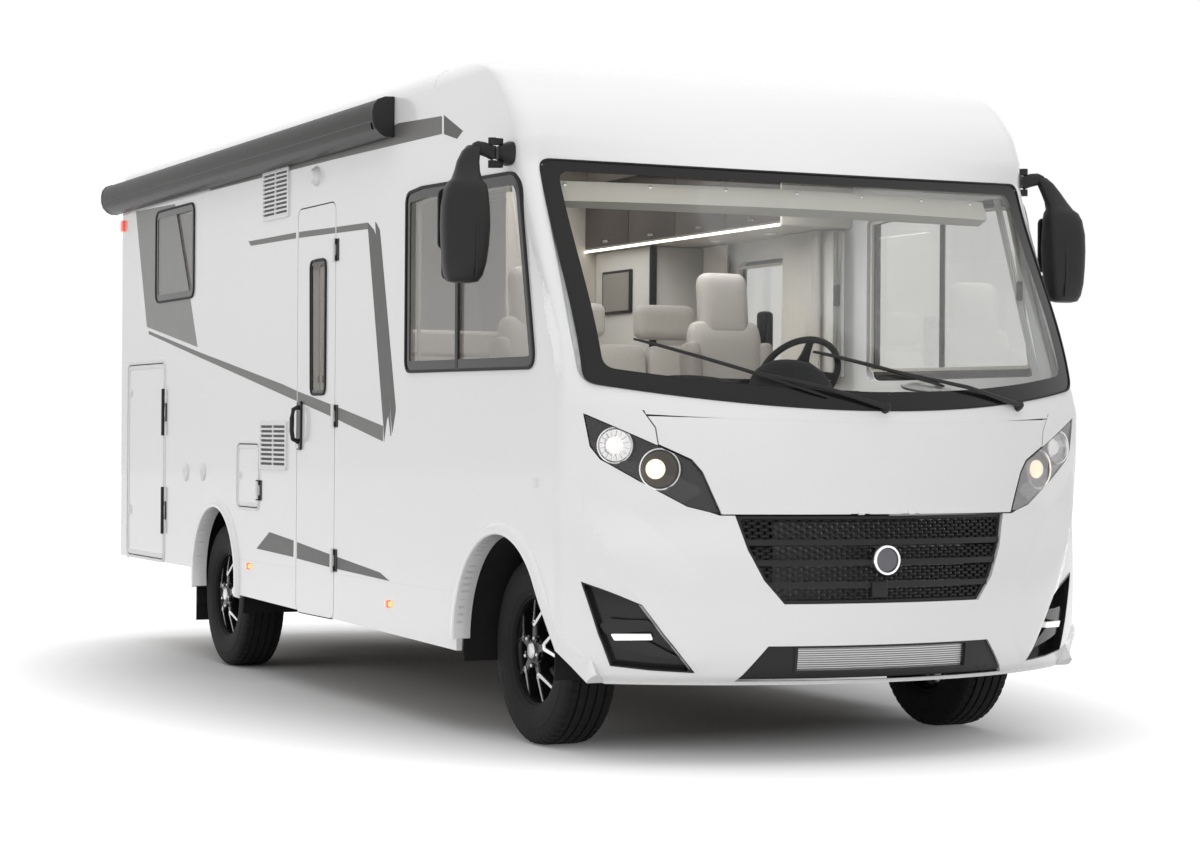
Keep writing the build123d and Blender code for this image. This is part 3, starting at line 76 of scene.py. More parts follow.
def node(t, kind, **vals):
    n = t.nodes.new(kind)
    for k, v in vals.items():
        if k in ("operation", "blend_type", "data_type", "noise_dimensions", "feature", "distance",
                "wave_type", "bands_direction", "wave_profile", "gradient_type"):
            setattr(n, k, v)
        else:
            n.inputs[k.replace("_", " ")].default_value = v
    return n


def noise(t, scale, detail=3.0, rough=0.5, stretch=None):
    co = t.nodes.new("ShaderNodeTexCoord")
    src = co.outputs["Object"]
    if stretch:
        mp = t.nodes.new("ShaderNodeMapping")
        mp.inputs["Scale"].default_value = stretch
        t.links.new(src, mp.inputs["Vector"])
        src = mp.outputs["Vector"]
    n = node(t, "ShaderNodeTexNoise", Scale=scale, Detail=detail, Roughness=rough)
    t.links.new(src, n.inputs["Vector"])
    return n.outputs["Fac"]


def remap(t, fac, low, high):
    r = node(t, "ShaderNodeMapRange")
    r.inputs["To Min"].default_value = low
    r.inputs["To Max"].default_value = high
    t.links.new(fac, r.inputs["Value"])
    return r.outputs["Result"]


def surface(name, base, rough=0.5, metal=0.0, coat=0.0, vary=0.04, vscale=6.0, bump=0.0, bscale=300.0,
        sheen=0.0, stretch=None, glow=None, strength=0.0, spec=0.5, rvary=0.08):
    """Principled surface whose colour, roughness and relief vary a little, as real ones do."""
    m, t, out = tree(name)
    p = t.nodes.new("ShaderNodeBsdfPrincipled")
    t.links.new(p.outputs[0], out.inputs[0])
    f = noise(t, vscale, 4.0, 0.55, stretch)
    mix = node(t, "ShaderNodeMix", data_type="RGBA")
    dark = [max(c * (1 - vary), 0) for c in base[:3]] + [1]
    light = [min(c * (1 + vary), 1) for c in base[:3]] + [1]
    mix.inputs[6].default_value = dark
    mix.inputs[7].default_value = light
    t.links.new(f, mix.inputs[0])
    t.links.new(mix.outputs[2], p.inputs["Base Color"])
    t.links.new(remap(t, noise(t, vscale * 3.1, 2.0), max(rough - rvary * rough, 0), min(rough + rvary * rough, 1)),
        p.inputs["Roughness"])
    p.inputs["Metallic"].default_value = metal
    p.inputs["Coat Weight"].default_value = coat
    p.inputs["Coat Roughness"].default_value = 0.04
    p.inputs["Specular IOR Level"].default_value = spec
    p.inputs["Sheen Weight"].default_value = sheen
    if bump:
        b = node(t, "ShaderNodeBump", Strength=1.0)
        b.inputs["Distance"].default_value = bump
        t.links.new(noise(t, bscale, 3.0, 0.6, stretch), b.inputs["Height"])
        t.links.new(b.outputs["Normal"], p.inputs["Normal"])
    if glow:
        p.inputs["Emission Color"].default_value = list(glow) + [1]
        p.inputs["Emission Strength"].default_value = strength
    return m


def thin_glass(name, tint, rough=0.0, gloss=1.0, base_reflect=0.04):
    """Thin pane: lets light straight through, tinted, and reflects by angle."""
    m, t, out = tree(name)
    tr = t.nodes.new("ShaderNodeBsdfTransparent")
    gl = node(t, "ShaderNodeBsdfGlossy", Roughness=rough)
    mix = t.nodes.new("ShaderNodeMixShader")
    fr = node(t, "ShaderNodeFresnel", IOR=1.5)
    dirt = remap(t, noise(t, 3.0, 4.0), 0.97, 1.0)
    col = node(t, "ShaderNodeMix", data_type="RGBA", blend_type="MULTIPLY")
    col.inputs[0].default_value = 1.0
    col.inputs[6].default_value = list(tint) + [1]
    comb = t.nodes.new("ShaderNodeCombineColor")
    for i in range(3):
        t.links.new(dirt, comb.inputs[i])
    t.links.new(comb.outputs[0], col.inputs[7])
    t.links.new(col.outputs[2], tr.inputs["Color"])
    amount = node(t, "ShaderNodeMath", operation="MULTIPLY_ADD")
    amount.inputs[1].default_value = gloss
    amount.inputs[2].default_value = base_reflect
    t.links.new(fr.outputs[0], amount.inputs[0])
    t.links.new(amount.outputs[0], mix.inputs[0])
    t.links.new(tr.outputs[0], mix.inputs[1])
    t.links.new(gl.outputs[0], mix.inputs[2])
    t.links.new(mix.outputs[0], out.inputs[0])
    return m


M = {}
M["white"] = surface("gloss_white", (0.8, 0.8, 0.8), 0.22, coat=0.6, vary=0.008, vscale=2.0, bump=0.00006, bscale=60)
M["side_white"] = surface("side_white", (0.8, 0.8, 0.8), 0.25, coat=0.5, vary=0.008, vscale=2.0, bump=0.0001,
    bscale=9)
M["seam"] = surface("seam_shadow", (0.16, 0.16, 0.16), 0.7, vary=0.1)
M["trim_white"] = surface("white_moulding", (0.76, 0.76, 0.755), 0.38, coat=0.2, vary=0.02, bump=0.0001, bscale=500)
M["black"] = surface("black_gloss", (0.012, 0.012, 0.012), 0.16, coat=0.6, vary=0.2, bump=0.00003, bscale=90)
M["satin_black"] = surface("black_moulding", (0.02, 0.02, 0.021), 0.42, vary=0.15, bump=0.00035, bscale=900)
# painted shade: the dark grey seen inside the fridge vents' slots
M["dark_plastic"] = surface("vent_shadow", (0.1, 0.1, 0.1), 0.7, vary=0.1)
M["rubber"] = surface("rubber_seal", (0.018, 0.018, 0.018), 0.62, vary=0.2, bump=0.0004, bscale=400)
M["tyre"] = surface("tyre_rubber", (0.012, 0.012, 0.0125), 0.72, vary=0.25, vscale=30, bump=0.0006, bscale=350)
M["awning"] = surface("awning_case", (0.01, 0.009, 0.008), 0.42, coat=0.1, vary=0.1, bump=0.0001, bscale=700,
    stretch=(1, 0.05, 1))
M["grey_stripe"] = surface("grey_film", (0.115, 0.113, 0.108), 0.4, vary=0.04, bump=0.00004, bscale=400)
M["dark_stripe"] = surface("dark_film", (0.052, 0.05, 0.048), 0.4, vary=0.05, bump=0.00004, bscale=400)
M["rear_film"] = surface("silver_film", (0.205, 0.203, 0.198), 0.38, metal=0.2, vary=0.05, vscale=3, bump=0.00004,
    bscale=400)
M["rim_black"] = surface("rim_lacquer", (0.014, 0.014, 0.015), 0.22, metal=0.3, coat=0.6, vary=0.1)
M["rim_cut"] = surface("turned_alloy", (0.72, 0.72, 0.73), 0.2, metal=1.0, vary=0.03, bump=0.00002, bscale=900,
    stretch=(1, 0.1, 0.1))
M["steel"] = surface("brake_steel", (0.36, 0.35, 0.34), 0.35, metal=1.0, vary=0.12, vscale=40, bump=0.0001,
    bscale=300)
M["caliper"] = surface("caliper_grey", (0.24, 0.24, 0.24), 0.42, metal=0.8, vary=0.15, vscale=30, bump=0.0004,
    bscale=200)
M["cast"] = surface("cast_iron", (0.12, 0.11, 0.105), 0.7, metal=0.6, vary=0.3, vscale=20, bump=0.0006, bscale=180)
M["chassis"] = surface("chassis_black", (0.022, 0.021, 0.02), 0.55, vary=0.25, vscale=12, bump=0.0004, bscale=120)
M["chrome"] = surface("chrome", (0.85, 0.85, 0.86), 0.06, metal=1.0, vary=0.01)
M["core"] = surface("cooler_fins", (0.2, 0.2, 0.2), 0.38, metal=1.0, vary=0.1, vscale=60, bump=0.0008, bscale=500,
    stretch=(1, 1, 0.05))
M["core_dark"] = surface("radiator_fins", (0.46, 0.46, 0.46), 0.4, metal=0.9, vary=0.2, vscale=80, bump=0.001,
    bscale=600,
    stretch=(1, 1, 0.05))
M["chrome_dull"] = surface("brushed_alloy", (0.62, 0.62, 0.62), 0.3, metal=1.0, vary=0.05, vscale=30)
M["badge"] = surface("badge_face", (0.1, 0.1, 0.11), 0.3, metal=0.6, coat=0.5, vary=0.1, vscale=20)
M["led_bar"] = surface("day_lamp", (0.8, 0.8, 0.8), 0.15, coat=0.5, vary=0.05, vscale=40, glow=(1.0, 0.98, 0.92),
    strength=0.35)
M["wood"] = surface("dark_veneer", (0.055, 0.042, 0.036), 0.42, vary=0.35, vscale=5, stretch=(8, 0.6, 8), bump=0.0002,
    bscale=160)
M["cream"] = surface("cream_board", (0.62, 0.57, 0.5), 0.45, vary=0.05, vscale=8, bump=0.0001, bscale=300)
M["floor"] = surface("floor_vinyl", (0.3, 0.24, 0.19), 0.5, vary=0.2, vscale=8, stretch=(6, 1, 1), bump=0.0002,
    bscale=200)
M["ceiling"] = surface("ceiling_cloth", (0.7, 0.68, 0.64), 0.85, sheen=0.2, vary=0.03, vscale=20, bump=0.0004,
    bscale=700)
M["cloth"] = surface("beige_upholstery", (0.5, 0.47, 0.43), 0.9, sheen=0.35, vary=0.1, vscale=60, bump=0.0009,
    bscale=900)
M["leather"] = surface("seat_leather", (0.42, 0.39, 0.36), 0.5, vary=0.08, vscale=40, bump=0.0006, bscale=650)
M["leather_dark"] = surface("seat_edge", (0.3, 0.27, 0.245), 0.5, vary=0.08, vscale=40, bump=0.0006, bscale=650)
M["liner"] = surface("wheel_liner", (0.012, 0.012, 0.012), 0.75, vary=0.3, vscale=15, bump=0.0006, bscale=150)
M["curtain"] = surface("curtain_cloth", (0.72, 0.68, 0.62), 0.95, sheen=0.4, vary=0.08, vscale=40, bump=0.0006,
    bscale=900)
M["dash"] = surface("dash_soft_black", (0.02, 0.02, 0.021), 0.6, vary=0.15, vscale=30, bump=0.0007, bscale=700)
M["blind"] = surface("blind_case", (0.58, 0.54, 0.48), 0.5, vary=0.03, bump=0.0001, bscale=300)
M["lamp_amber"] = surface("amber_lens", (0.75, 0.25, 0.04), 0.15, coat=0.5, glow=(1.0, 0.45, 0.12), strength=1.6)
M["lamp_red"] = surface("red_lens", (0.55, 0.03, 0.02), 0.15, coat=0.5, glow=(1.0, 0.1, 0.04), strength=0.6)
M["glow_white"] = surface("lamp_glow_white", (0.9, 0.9, 0.9), 0.2, glow=(1.0, 0.98, 0.95), strength=0.75)
M["glow_warm"] = surface("lamp_glow_warm", (0.9, 0.8, 0.6), 0.2, glow=(1.0, 0.82, 0.6), strength=1.7)
M["led"] = surface("led_strip", (1, 1, 1), 0.3, glow=(1.0, 0.97, 0.9), strength=3.0)
M["windscreen"] = thin_glass("windscreen_glass", (0.95, 0.96, 0.955), 0.0, 0.22, 0.0)
M["acrylic"] = thin_glass("tinted_acrylic", (0.93, 0.925, 0.915), 0.02, 0.35, 0.01)
M["lamp_glass"] = thin_glass("lamp_cover", (0.93, 0.93, 0.93), 0.0, 0.6, 0.01)

# the photograph's blacks hardly reflect: their gloss is held down
BLACK_SPECULAR, BLACK_COAT = 0.22, 0.25
for key in ("black", "satin_black", "rubber", "tyre", "liner", "awning", "dash", "rim_black", "chassis", "seam"):
    for n in M[key].node_tree.nodes:
        if n.type == "BSDF_PRINCIPLED":
            n.inputs["Specular IOR Level"].default_value = BLACK_SPECULAR
            n.inputs["Coat Weight"].default_value *= BLACK_COAT


# ---- mesh helpers
def add_object(name, mesh, mat, body=ROOT):
    o = bpy.data.objects.new(name, mesh)
    scene.collection.objects.link(o)
    for m in (mat if isinstance(mat, (list, tuple)) else [mat]):
        mesh.materials.append(m)
    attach(o, body)
    return o


def from_bm(name, bm, mat, body=ROOT, smooth=None):
    me = bpy.data.meshes.new(name)
    bm.normal_update()
    bm.to_mesh(me)
    bm.free()
    if smooth is not None:
        shade(me, smooth)
    return add_object(name, me, mat, body)


def shade(me, angle):
    """Smooth shading, with edges sharper than the angle kept sharp."""
    me.shade_smooth()
    me.set_sharp_from_angle(angle=math.radians(angle))


def poly_points(points, corner=0.0, steps=5):
    """Closed outline with its corners rounded; a corner may be one number or one a point."""
    n = len(points)
    radii = corner if isinstance(corner, (list, tuple)) else [corner] * n
    out = []
    for i in range(n):
        p = Vector(points[i])
        a = Vector(points[i - 1]) - p
        b = Vector(points[(i + 1) % n]) - p
        r = radii[i]
        if r <= 0 or a.length < 1e-6 or b.length < 1e-6:
            out.append(tuple(p))
            continue
        a_n, b_n = a.normalized(), b.normalized()
        half = math.acos(max(-1, min(1, a_n.dot(b_n)))) / 2
        if half < 0.02 or half > 1.55:
            out.append(tuple(p))
            continue
        d = min(r / math.tan(half), a.length * 0.49, b.length * 0.49)
        s, e = p + a_n * d, p + b_n * d
        for k in range(steps + 1):
            u = k / steps
            out.append(tuple((1 - u) ** 2 * s + 2 * u * (1 - u) * p + u * u * e))
    return out


def solid_bm(bm, vector):
    """Extrudes all the faces of a flat sheet by a vector."""
    faces = bm.faces[:]
    ret = bmesh.ops.extrude_face_region(bm, geom=faces)
    vs = [e for e in ret["geom"] if isinstance(e, bmesh.types.BMVert)]
    bmesh.ops.translate(bm, verts=vs, vec=vector)
    bmesh.ops.recalc_face_normals(bm, faces=bm.faces[:])
    return bm


def box_bm(bm, low, high):
    vs = [bm.verts.new((x, y, z)) for x in (low[0], high[0]) for y in (low[1], high[1]) for z in (low[2], high[2])]
    for f in ((0, 1, 3, 2), (4, 6, 7, 5), (0, 4, 5, 1), (2, 3, 7, 6), (0, 2, 6, 4), (1, 5, 7, 3)):
        bm.faces.new([vs[i] for i in f])


def bevel_all(bm, width, segments=3, angle=30):
    edges = [e for e in bm.edges if len(e.link_faces) == 2 and e.calc_face_angle(0) > math.radians(angle)]
    bmesh.ops.bevel(bm, geom=edges, offset=width, segments=segments, affect="EDGES", profile=0.5, clamp_overlap=True)


def slab(name, low, high, mat, body=ROOT, bevel=0.004, segments=3):
    bm = bmesh.new()
    box_bm(bm, low, high)
    bmesh.ops.recalc_face_normals(bm, faces=bm.faces[:])
    if bevel:
        bevel_all(bm, bevel, segments)
    return from_bm(name, bm, mat, body, 35)


def side_sheet(name, side, outline, x0, x1, mat, body=ROOT, holes=()):
    """Plate in a side view, between two distances from the middle of the vehicle."""
    bm = bmesh.new()
    edges = []
    for ring in [outline] + list(holes):
        vs = [bm.verts.new((side * x0, y, z)) for y, z in ring]
        edges += [bm.edges.new((vs[i], vs[(i + 1) % len(vs)])) for i in range(len(vs))]
    if holes:
        bmesh.ops.triangle_fill(bm, edges=edges, use_beauty=True)
    else:
        bmesh.ops.contextual_create(bm, geom=bm.verts[:])
    solid_bm(bm, (side * (x1 - x0), 0, 0))
    return from_bm(name, bm, mat, body, 30)


def rect(y0, y1, z0, z1, r=0.0, steps=6):
    return poly_points([(y0, z0), (y1, z0), (y1, z1), (y0, z1)], r, steps)


def ring_tube(name, path, radius, mat, body=ROOT, closed=False, sides=8):
    """Round bar along a list of points."""
    pts = [Vector(p) for p in path]
    n = len(pts)
    bm = bmesh.new()
    rings = []
    up = Vector((0.123, 0.21, 0.97))
    for i, p in enumerate(pts):
        if closed:
            t = (pts[(i + 1) % n] - pts[i - 1]).normalized()
        else:
            t = (pts[min(i + 1, n - 1)] - pts[max(i - 1, 0)]).normalized()
        a = t.cross(up).normalized()
        b = t.cross(a).normalized()
        r = float(radius[i] if isinstance(radius, (list, tuple)) else radius)
        rings.append([bm.verts.new(p + r * (math.cos(w) * a + math.sin(w) * b)) for w in turns(sides)])
    m = n if closed else n - 1
    for i in range(m):
        r0, r1 = rings[i], rings[(i + 1) % n]
        for k in range(sides):
            bm.faces.new((r0[k], r0[(k + 1) % sides], r1[(k + 1) % sides], r1[k]))
    if not closed:
        bm.faces.new(rings[0][::-1])
        bm.faces.new(rings[-1])
    bmesh.ops.recalc_face_normals(bm, faces=bm.faces[:])
    return from_bm(name, bm, mat, body, 50)


def lathe_bm(bm, profile, centre, axis, segments=64, closed=True):
    """Turns a profile of (along the axis, radius) about an axis through the centre; axis is x, y or z."""
    rings = []
    for k in range(segments):
        a = 2 * math.pi * k / segments
        ring = []
        for u, r in profile:
            c, s = r * math.cos(a), r * math.sin(a)
            p = {"x": (u, c, s), "y": (c, u, s), "z": (c, s, u)}[axis]
            ring.append(bm.verts.new((centre[0] + p[0], centre[1] + p[1], centre[2] + p[2])))
        rings.append(ring)
    n = len(profile)
    m = n if closed else n - 1
    for k in range(segments):
        r0, r1 = rings[k], rings[(k + 1) % segments]
        for i in range(m):
            j = (i + 1) % n
            bm.faces.new((r0[i], r0[j], r1[j], r1[i]))


def lathe(name, profile, centre, axis, mat, body=ROOT, segments=64, smooth=35, closed=True):
    bm = bmesh.new()
    lathe_bm(bm, profile, centre, axis, segments, closed)
    bmesh.ops.remove_doubles(bm, verts=bm.verts[:], dist=1e-6)
    bmesh.ops.recalc_face_normals(bm, faces=bm.faces[:])
    return from_bm(name, bm, mat, body, smooth)


# ---- the nose surface
# height, centre line behind the front axle, radius in plan (the CAD's levels)
LEVELS = np.array([
        (0.3, -0.985, 1.7), (0.34, -1.02, 1.7), (0.45, -1.035, 1.7), (0.61, -1.04, 1.7), (0.77, -1.03, 1.72),
        (0.93, -1.005, 1.78), (1.1, -0.99, 1.92), (1.32, -0.965, 2.06), (2.262, -0.41, 3.57), (2.38, -0.33, 6.2),
        (2.49, -0.24, 10.2), (2.59, -0.13, 13.0), (2.66, -0.01, 25.0), (2.7, 0.12, 30.0), (2.725, 0.28, 30.0),
        (2.74, 0.5, 30.0)])
CORNER = 0.1


def pchip(xs, ys, x):
    """Smooth interpolation with no overshoot."""
    h = np.diff(xs)
    d = np.diff(ys) / h
    m = np.zeros(len(xs))
    for i in range(1, len(xs) - 1):
        if d[i - 1] * d[i] > 0:
            w1, w2 = 2 * h[i] + h[i - 1], h[i] + 2 * h[i - 1]
            m[i] = (w1 + w2) / (w1 / d[i - 1] + w2 / d[i])
    m[0], m[-1] = d[0], d[-1]
    x = np.clip(x, xs[0], xs[-1])
    k = np.clip(np.searchsorted(xs, x) - 1, 0, len(xs) - 2)
    s = (x - xs[k]) / h[k]
    return ((2 * s**3 - 3 * s**2 + 1) * ys[k] + (s**3 - 2 * s**2 + s) * h[k] * m[k]
        + (-2 * s**3 + 3 * s**2) * ys[k + 1] + (s**3 - s**2) * h[k] * m[k + 1])


def level(z, smooth=True):
    z = np.asarray(z, float)
    if smooth:
        c = pchip(LEVELS[:, 0], LEVELS[:, 1], z)
        k = pchip(LEVELS[:, 0], 1 / LEVELS[:, 2], z)
        r = 1 / k
    else:
        c = np.interp(z, LEVELS[:, 0], LEVELS[:, 1])
        r = np.interp(z, LEVELS[:, 0], LEVELS[:, 2])
    rise = np.clip(z - (ROOF - 0.08), 0, 0.08)
    hw = HALF - 0.08 + np.sqrt(0.08**2 - rise**2)
    return c + AXLE, r, hw


def depth(p, smooth=True):
    """How far inside the outer skin each point lies, seen in plan."""
    c, r, hw = level(p[:, 2], smooth)
    x = np.abs(p[:, 0])
    y = p[:, 1]
    cx = hw - CORNER
    my = c + r
    cy = my - np.sqrt((r - CORNER) ** 2 - cx**2)
    front = r - np.hypot(x, np.maximum(my - y, 0))
    corner = CORNER - np.hypot(x - cx, cy - y)
    touch = x * (my - cy) > cx * (my - y)
    d = np.where(touch, corner, front)
    return np.where(y > cy, np.minimum(hw - x, front), d)


def skin_normal(p):
    e = 0.002
    g = np.stack([(depth(p + e * a) - depth(p - e * a)) / (2 * e) for a in np.eye(3)], 1)
    n = -g
    n /= np.linalg.norm(n, axis=1)[:, None] + 1e-12
    return n


def skin_y(x, z):
    c, r, hw = level(z)
    ax = min(abs(x), float(hw) - 1e-4)
    cx = hw - CORNER
    my = c + r
    cy = my - math.sqrt((r - CORNER) ** 2 - cx**2)
    if ax * (my - cy) > cx * math.sqrt(max(r * r - ax * ax, 0)):
        return float(cy - math.sqrt(max(CORNER**2 - (ax - cx) ** 2, 0)))
    return float(my - math.sqrt(r * r - ax * ax))


def on_skin(points, out=0.0):
    """Points (x, z) laid on the nose, this far proud of it."""
    p = np.array([(x, skin_y(x, z), z) for x, z in points])
    return p + out * skin_normal(p)


def set_normals(me, normal_of, keep_angle=25):
    """Smooth normals from a formula where a face lies along the formed surface, its own elsewhere."""
    co = np.empty(len(me.vertices) * 3)
    me.vertices.foreach_get("co", co)
    co = co.reshape(-1, 3)
    formed = normal_of(co)
    fn = np.empty(len(me.polygons) * 3)
    me.polygons.foreach_get("normal", fn)
    fn = fn.reshape(-1, 3)
    loops_v = np.empty(len(me.loops), int)
    me.loops.foreach_get("vertex_index", loops_v)
    total = np.empty(len(me.polygons), int)
    me.polygons.foreach_get("loop_total", total)
    poly_of = np.repeat(np.arange(len(me.polygons)), total)
    ln = formed[loops_v]
    f = fn[poly_of]
    along = np.einsum("ij,ij->i", ln, f)
    limit = math.cos(math.radians(keep_angle))
    result = np.where((along > limit)[:, None], ln, np.where((along < -limit)[:, None], -ln, f))
    me.shade_smooth()
    me.normals_split_custom_set([tuple(v) for v in result])


def grid_cut(bm, xs=(), ys=(), zs=()):
    for axis, values in ((Vector((1, 0, 0)), xs), (Vector((0, 1, 0)), ys), (Vector((0, 0, 1)), zs)):
        for v in values:
            bmesh.ops.bisect_plane(bm, geom=bm.verts[:] + bm.edges[:] + bm.faces[:], dist=1e-5, plane_co=axis * v,
                plane_no=axis)


def smooth_shift(co):
    """Carries points from the CAD's ruled levels to the smooth surface."""
    n = skin_normal(co)
    d0 = depth(co, False)
    d1 = depth(co, True)
    w = np.clip(n[:, 1] ** 2 * 1.3, 0, 1) * (co[:, 1] < AXLE + 0.9)
    return co + n * ((d1 - d0) * w)[:, None]


RIDGE = [(1.105, 1.03), (1.085, 0.926), (1.035, 0.816), (0.911, 0.605), (0.748, 0.397), (0.7, 0.33)]
VALLEY = [(1.06, 1.11), (1.0, 1.03), (0.97, 0.98), (0.845, 0.857), (0.71, 0.705), (0.625, 0.514), (0.66, 0.4),
    (0.69, 0.345)]


def along(points, x, z):
    """Distance from an open line, positive on its outer side, for arrays of places."""
    best = np.full(x.shape, 9.0)
    sign = np.ones(x.shape)
    for (ax, az), (bx, bz) in zip(points, points[1:]):
        dx, dz = bx - ax, bz - az
        ll = dx * dx + dz * dz
        t = np.clip(((x - ax) * dx + (z - az) * dz) / ll, 0, 1)
        ex, ez = x - (ax + t * dx), z - (az + t * dz)
        d = np.hypot(ex, ez)
        side = np.sign((x - ax) * (-dz) + (z - az) * dx)
        sign = np.where(d < best, side, sign)
        best = np.minimum(best, d)
    return best * sign


def crease(co):
    """Relief of the moulded front: positive stands proud, in metres."""
    x, z = np.abs(co[:, 0]), co[:, 2]
    a = along(RIDGE, x, z)
    b = along(VALLEY, x, z)
    top = np.clip((1.1 - z) / 0.16, 0, 1) * np.clip((z - 0.335) / 0.06, 0, 1)
    height = (0.008 + 0.014 * np.clip((z - 0.55) / 0.25, 0, 1)) * top
    past = np.clip(1 - np.abs(a) / 0.045, 0, 1)
    h = np.where(a * b < 0, np.clip(np.abs(b) / (np.abs(a) + np.abs(b) + 1e-6), 0, 1),
        np.where(np.abs(a) < np.abs(b), past, 0))
    return height * h * (co[:, 1] < AXLE - 0.35)


def relief_normal(p):
    """Normal of the nose with its relief on it."""
    e = 0.004
    n = skin_normal(p)
    for k in (0, 2):
        a = np.eye(3)[k] * e
        n[:, k] -= (crease(p + a) - crease(p - a)) / (2 * e)
    return n / np.linalg.norm(n, axis=1)[:, None]


def nose_copy(name, source, mat, body=ROOT, step=0.05, relief=True):
    """The CAD node's own mesh, cut fine and laid on the smooth nose."""
    src = nodes[source]
    bm = bmesh.new()
    bm.from_mesh(src.data)
    bmesh.ops.remove_doubles(bm, verts=bm.verts[:], dist=1e-6)
    co = np.array([v.co for v in bm.verts])
    lo, hi = co.min(0), co.max(0)
    xs = np.arange(math.ceil(lo[0] / step) * step, hi[0], step)
    zs = np.arange(math.ceil(lo[2] / step) * step, hi[2], step)
    grid_cut(bm, xs=xs, zs=zs)
    co = np.array([v.co for v in bm.verts])
    co = smooth_shift(co)
    if relief:
        co = co + skin_normal(co) * crease(co)[:, None]
    for v, p in zip(bm.verts, co):
        v.co = p
    me = bpy.data.meshes.new(name)
    bm.to_mesh(me)
    bm.free()
    set_normals(me, relief_normal if relief else skin_normal)
    o = add_object(name, me, mat, body)
    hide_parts(source)
    return o


def sheet_bm(outline, holes, edge_step, place):
    """Flat sheet of an outline with holes, its edges cut to a step; place gives a vertex for each pair."""
    bm = bmesh.new()
    edges = []
    for ring in [outline] + list(holes):
        dense = []
        for i in range(len(ring)):
            a, b = ring[i], ring[(i + 1) % len(ring)]
            k = max(1, int(math.hypot(b[0] - a[0], b[1] - a[1]) / edge_step))
            dense += [(a[0] + (b[0] - a[0]) * j / k, a[1] + (b[1] - a[1]) * j / k) for j in range(k)]
        vs = [bm.verts.new(place(*p)) for p in dense]
        edges += [bm.edges.new((vs[i], vs[(i + 1) % len(vs)])) for i in range(len(vs))]
    bmesh.ops.triangle_fill(bm, edges=edges, use_beauty=True)
    return bm


def skin_patch(name, outline, out, thick, mat, body=ROOT, step=0.04, holes=(), edge_step=0.02):
    """A plate on the nose: an outline (x, z) laid on the skin, its outer face this far proud."""
    bm = sheet_bm(outline, holes, edge_step, lambda x, z: (x, 0, z))
    co = np.array([v.co for v in bm.verts])
    lo, hi = co.min(0), co.max(0)
    grid_cut(bm, xs=np.arange(math.ceil(lo[0] / step) * step, hi[0], step),
        zs=np.arange(math.ceil(lo[2] / step) * step, hi[2], step))
    bm.verts.ensure_lookup_table()
    co = np.array([(v.co.x, skin_y(v.co.x, v.co.z), v.co.z) for v in bm.verts])
    n = skin_normal(co)
    for v, p, q in zip(bm.verts, co, n):
        v.co = p + out * q
    for f in bm.faces:
        f.normal_update()
        c = np.array([f.calc_center_median()])
        if Vector(skin_normal(c)[0]).dot(f.normal) < 0:
            f.normal_flip()
    if thick:
        top = bm.verts[:]
        under = {}
        for v, q in zip(top, n):
            under[v] = bm.verts.new(v.co - Vector(q) * thick)
        faces = bm.faces[:]
        rim = [e for e in bm.edges if len(e.link_faces) == 1]
        loops = []
        for e in rim:
            f = e.link_faces[0]
            for lp in f.loops:
                if lp.edge == e:
                    loops.append((lp.vert, lp.link_loop_next.vert))
        for f in faces:
            bm.faces.new([under[v] for v in reversed(f.verts[:])])
        for a, b in loops:
            bm.faces.new((b, a, under[a], under[b]))
    me = bpy.data.meshes.new(name)
    bm.normal_update()
    bm.to_mesh(me)
    bm.free()
    set_normals(me, skin_normal, 35)
    return add_object(name, me, mat, body)


def both(points):
    """A right half outline and its mirror image."""
    return list(points) + [(-x, z) for x, z in reversed(points)]


# ---- the front
def arc_between(a, mid, b, steps=24):
    """Parabola through two ends and a middle height, as (x, z)."""
    out = []
    for i in range(steps + 1):
        u = i / steps
        x = a[0] + (b[0] - a[0]) * u
        base = a[1] + (b[1] - a[1]) * u
        out.append((x, base + (mid - (a[1] + b[1]) / 2) * 4 * u * (1 - u)))
    return out


nose_copy("nose_shell", "front_cap", M["white"], step=0.02)
skin_patch("bonnet_upper_lip", arc_between((-0.899, 1.324), 1.299, (0.899, 1.324)) + arc_between((0.891, 1.301),
        1.276, (-0.891, 1.301)), 0.0006,
    0.004, M["white"], "front_lid")
for s in (-1, 1):
    skin_patch(f"bonnet_hinge_cover_{s}", [(s * 0.11 - 0.05, 0.935), (s * 0.11 + 0.05, 0.935),
            (s * 0.11 + 0.05, 0.976), (s * 0.11 - 0.05, 0.976)],
        0.0006, 0.003, M["white"], "front_lid")
nose_copy("bonnet_panel", "bonnet", M["white"], "front_lid", relief=False)
nose_copy("windscreen_pane", "windscreen", M["windscreen"], step=0.08, relief=False)


def screen_outline(top, top_mid, foot, foot_mid, radius):
    pts = arc_between((-top[0], top[1]), top_mid, top)[1:-1]
    low = arc_between(foot, foot_mid, (-foot[0], foot[1]))[1:-1]
    ring = [(-top[0], top[1])] + pts + [top, foot] + low + [(-foot[0], foot[1])]
    rad = [radius] + [0] * len(pts) + [radius, radius] + [0] * len(low) + [radius]
    return poly_points(ring, rad, 6)


outer = screen_outline((1.091, 2.281), 2.258, (1.085, 1.423), 1.325, 0.055)
seal = screen_outline((1.097, 2.287), 2.264, (1.091, 1.417), 1.319, 0.06)
clear = screen_outline((1.03, 2.236), 2.218, (1.02, 1.475), 1.392, 0.05)
skin_patch("windscreen_border", outer, -0.0004, 0.0004, M["black"], holes=[clear])
skin_patch("windscreen_seal", seal, 0.0035, 0.006, M["rubber"], holes=[outer])

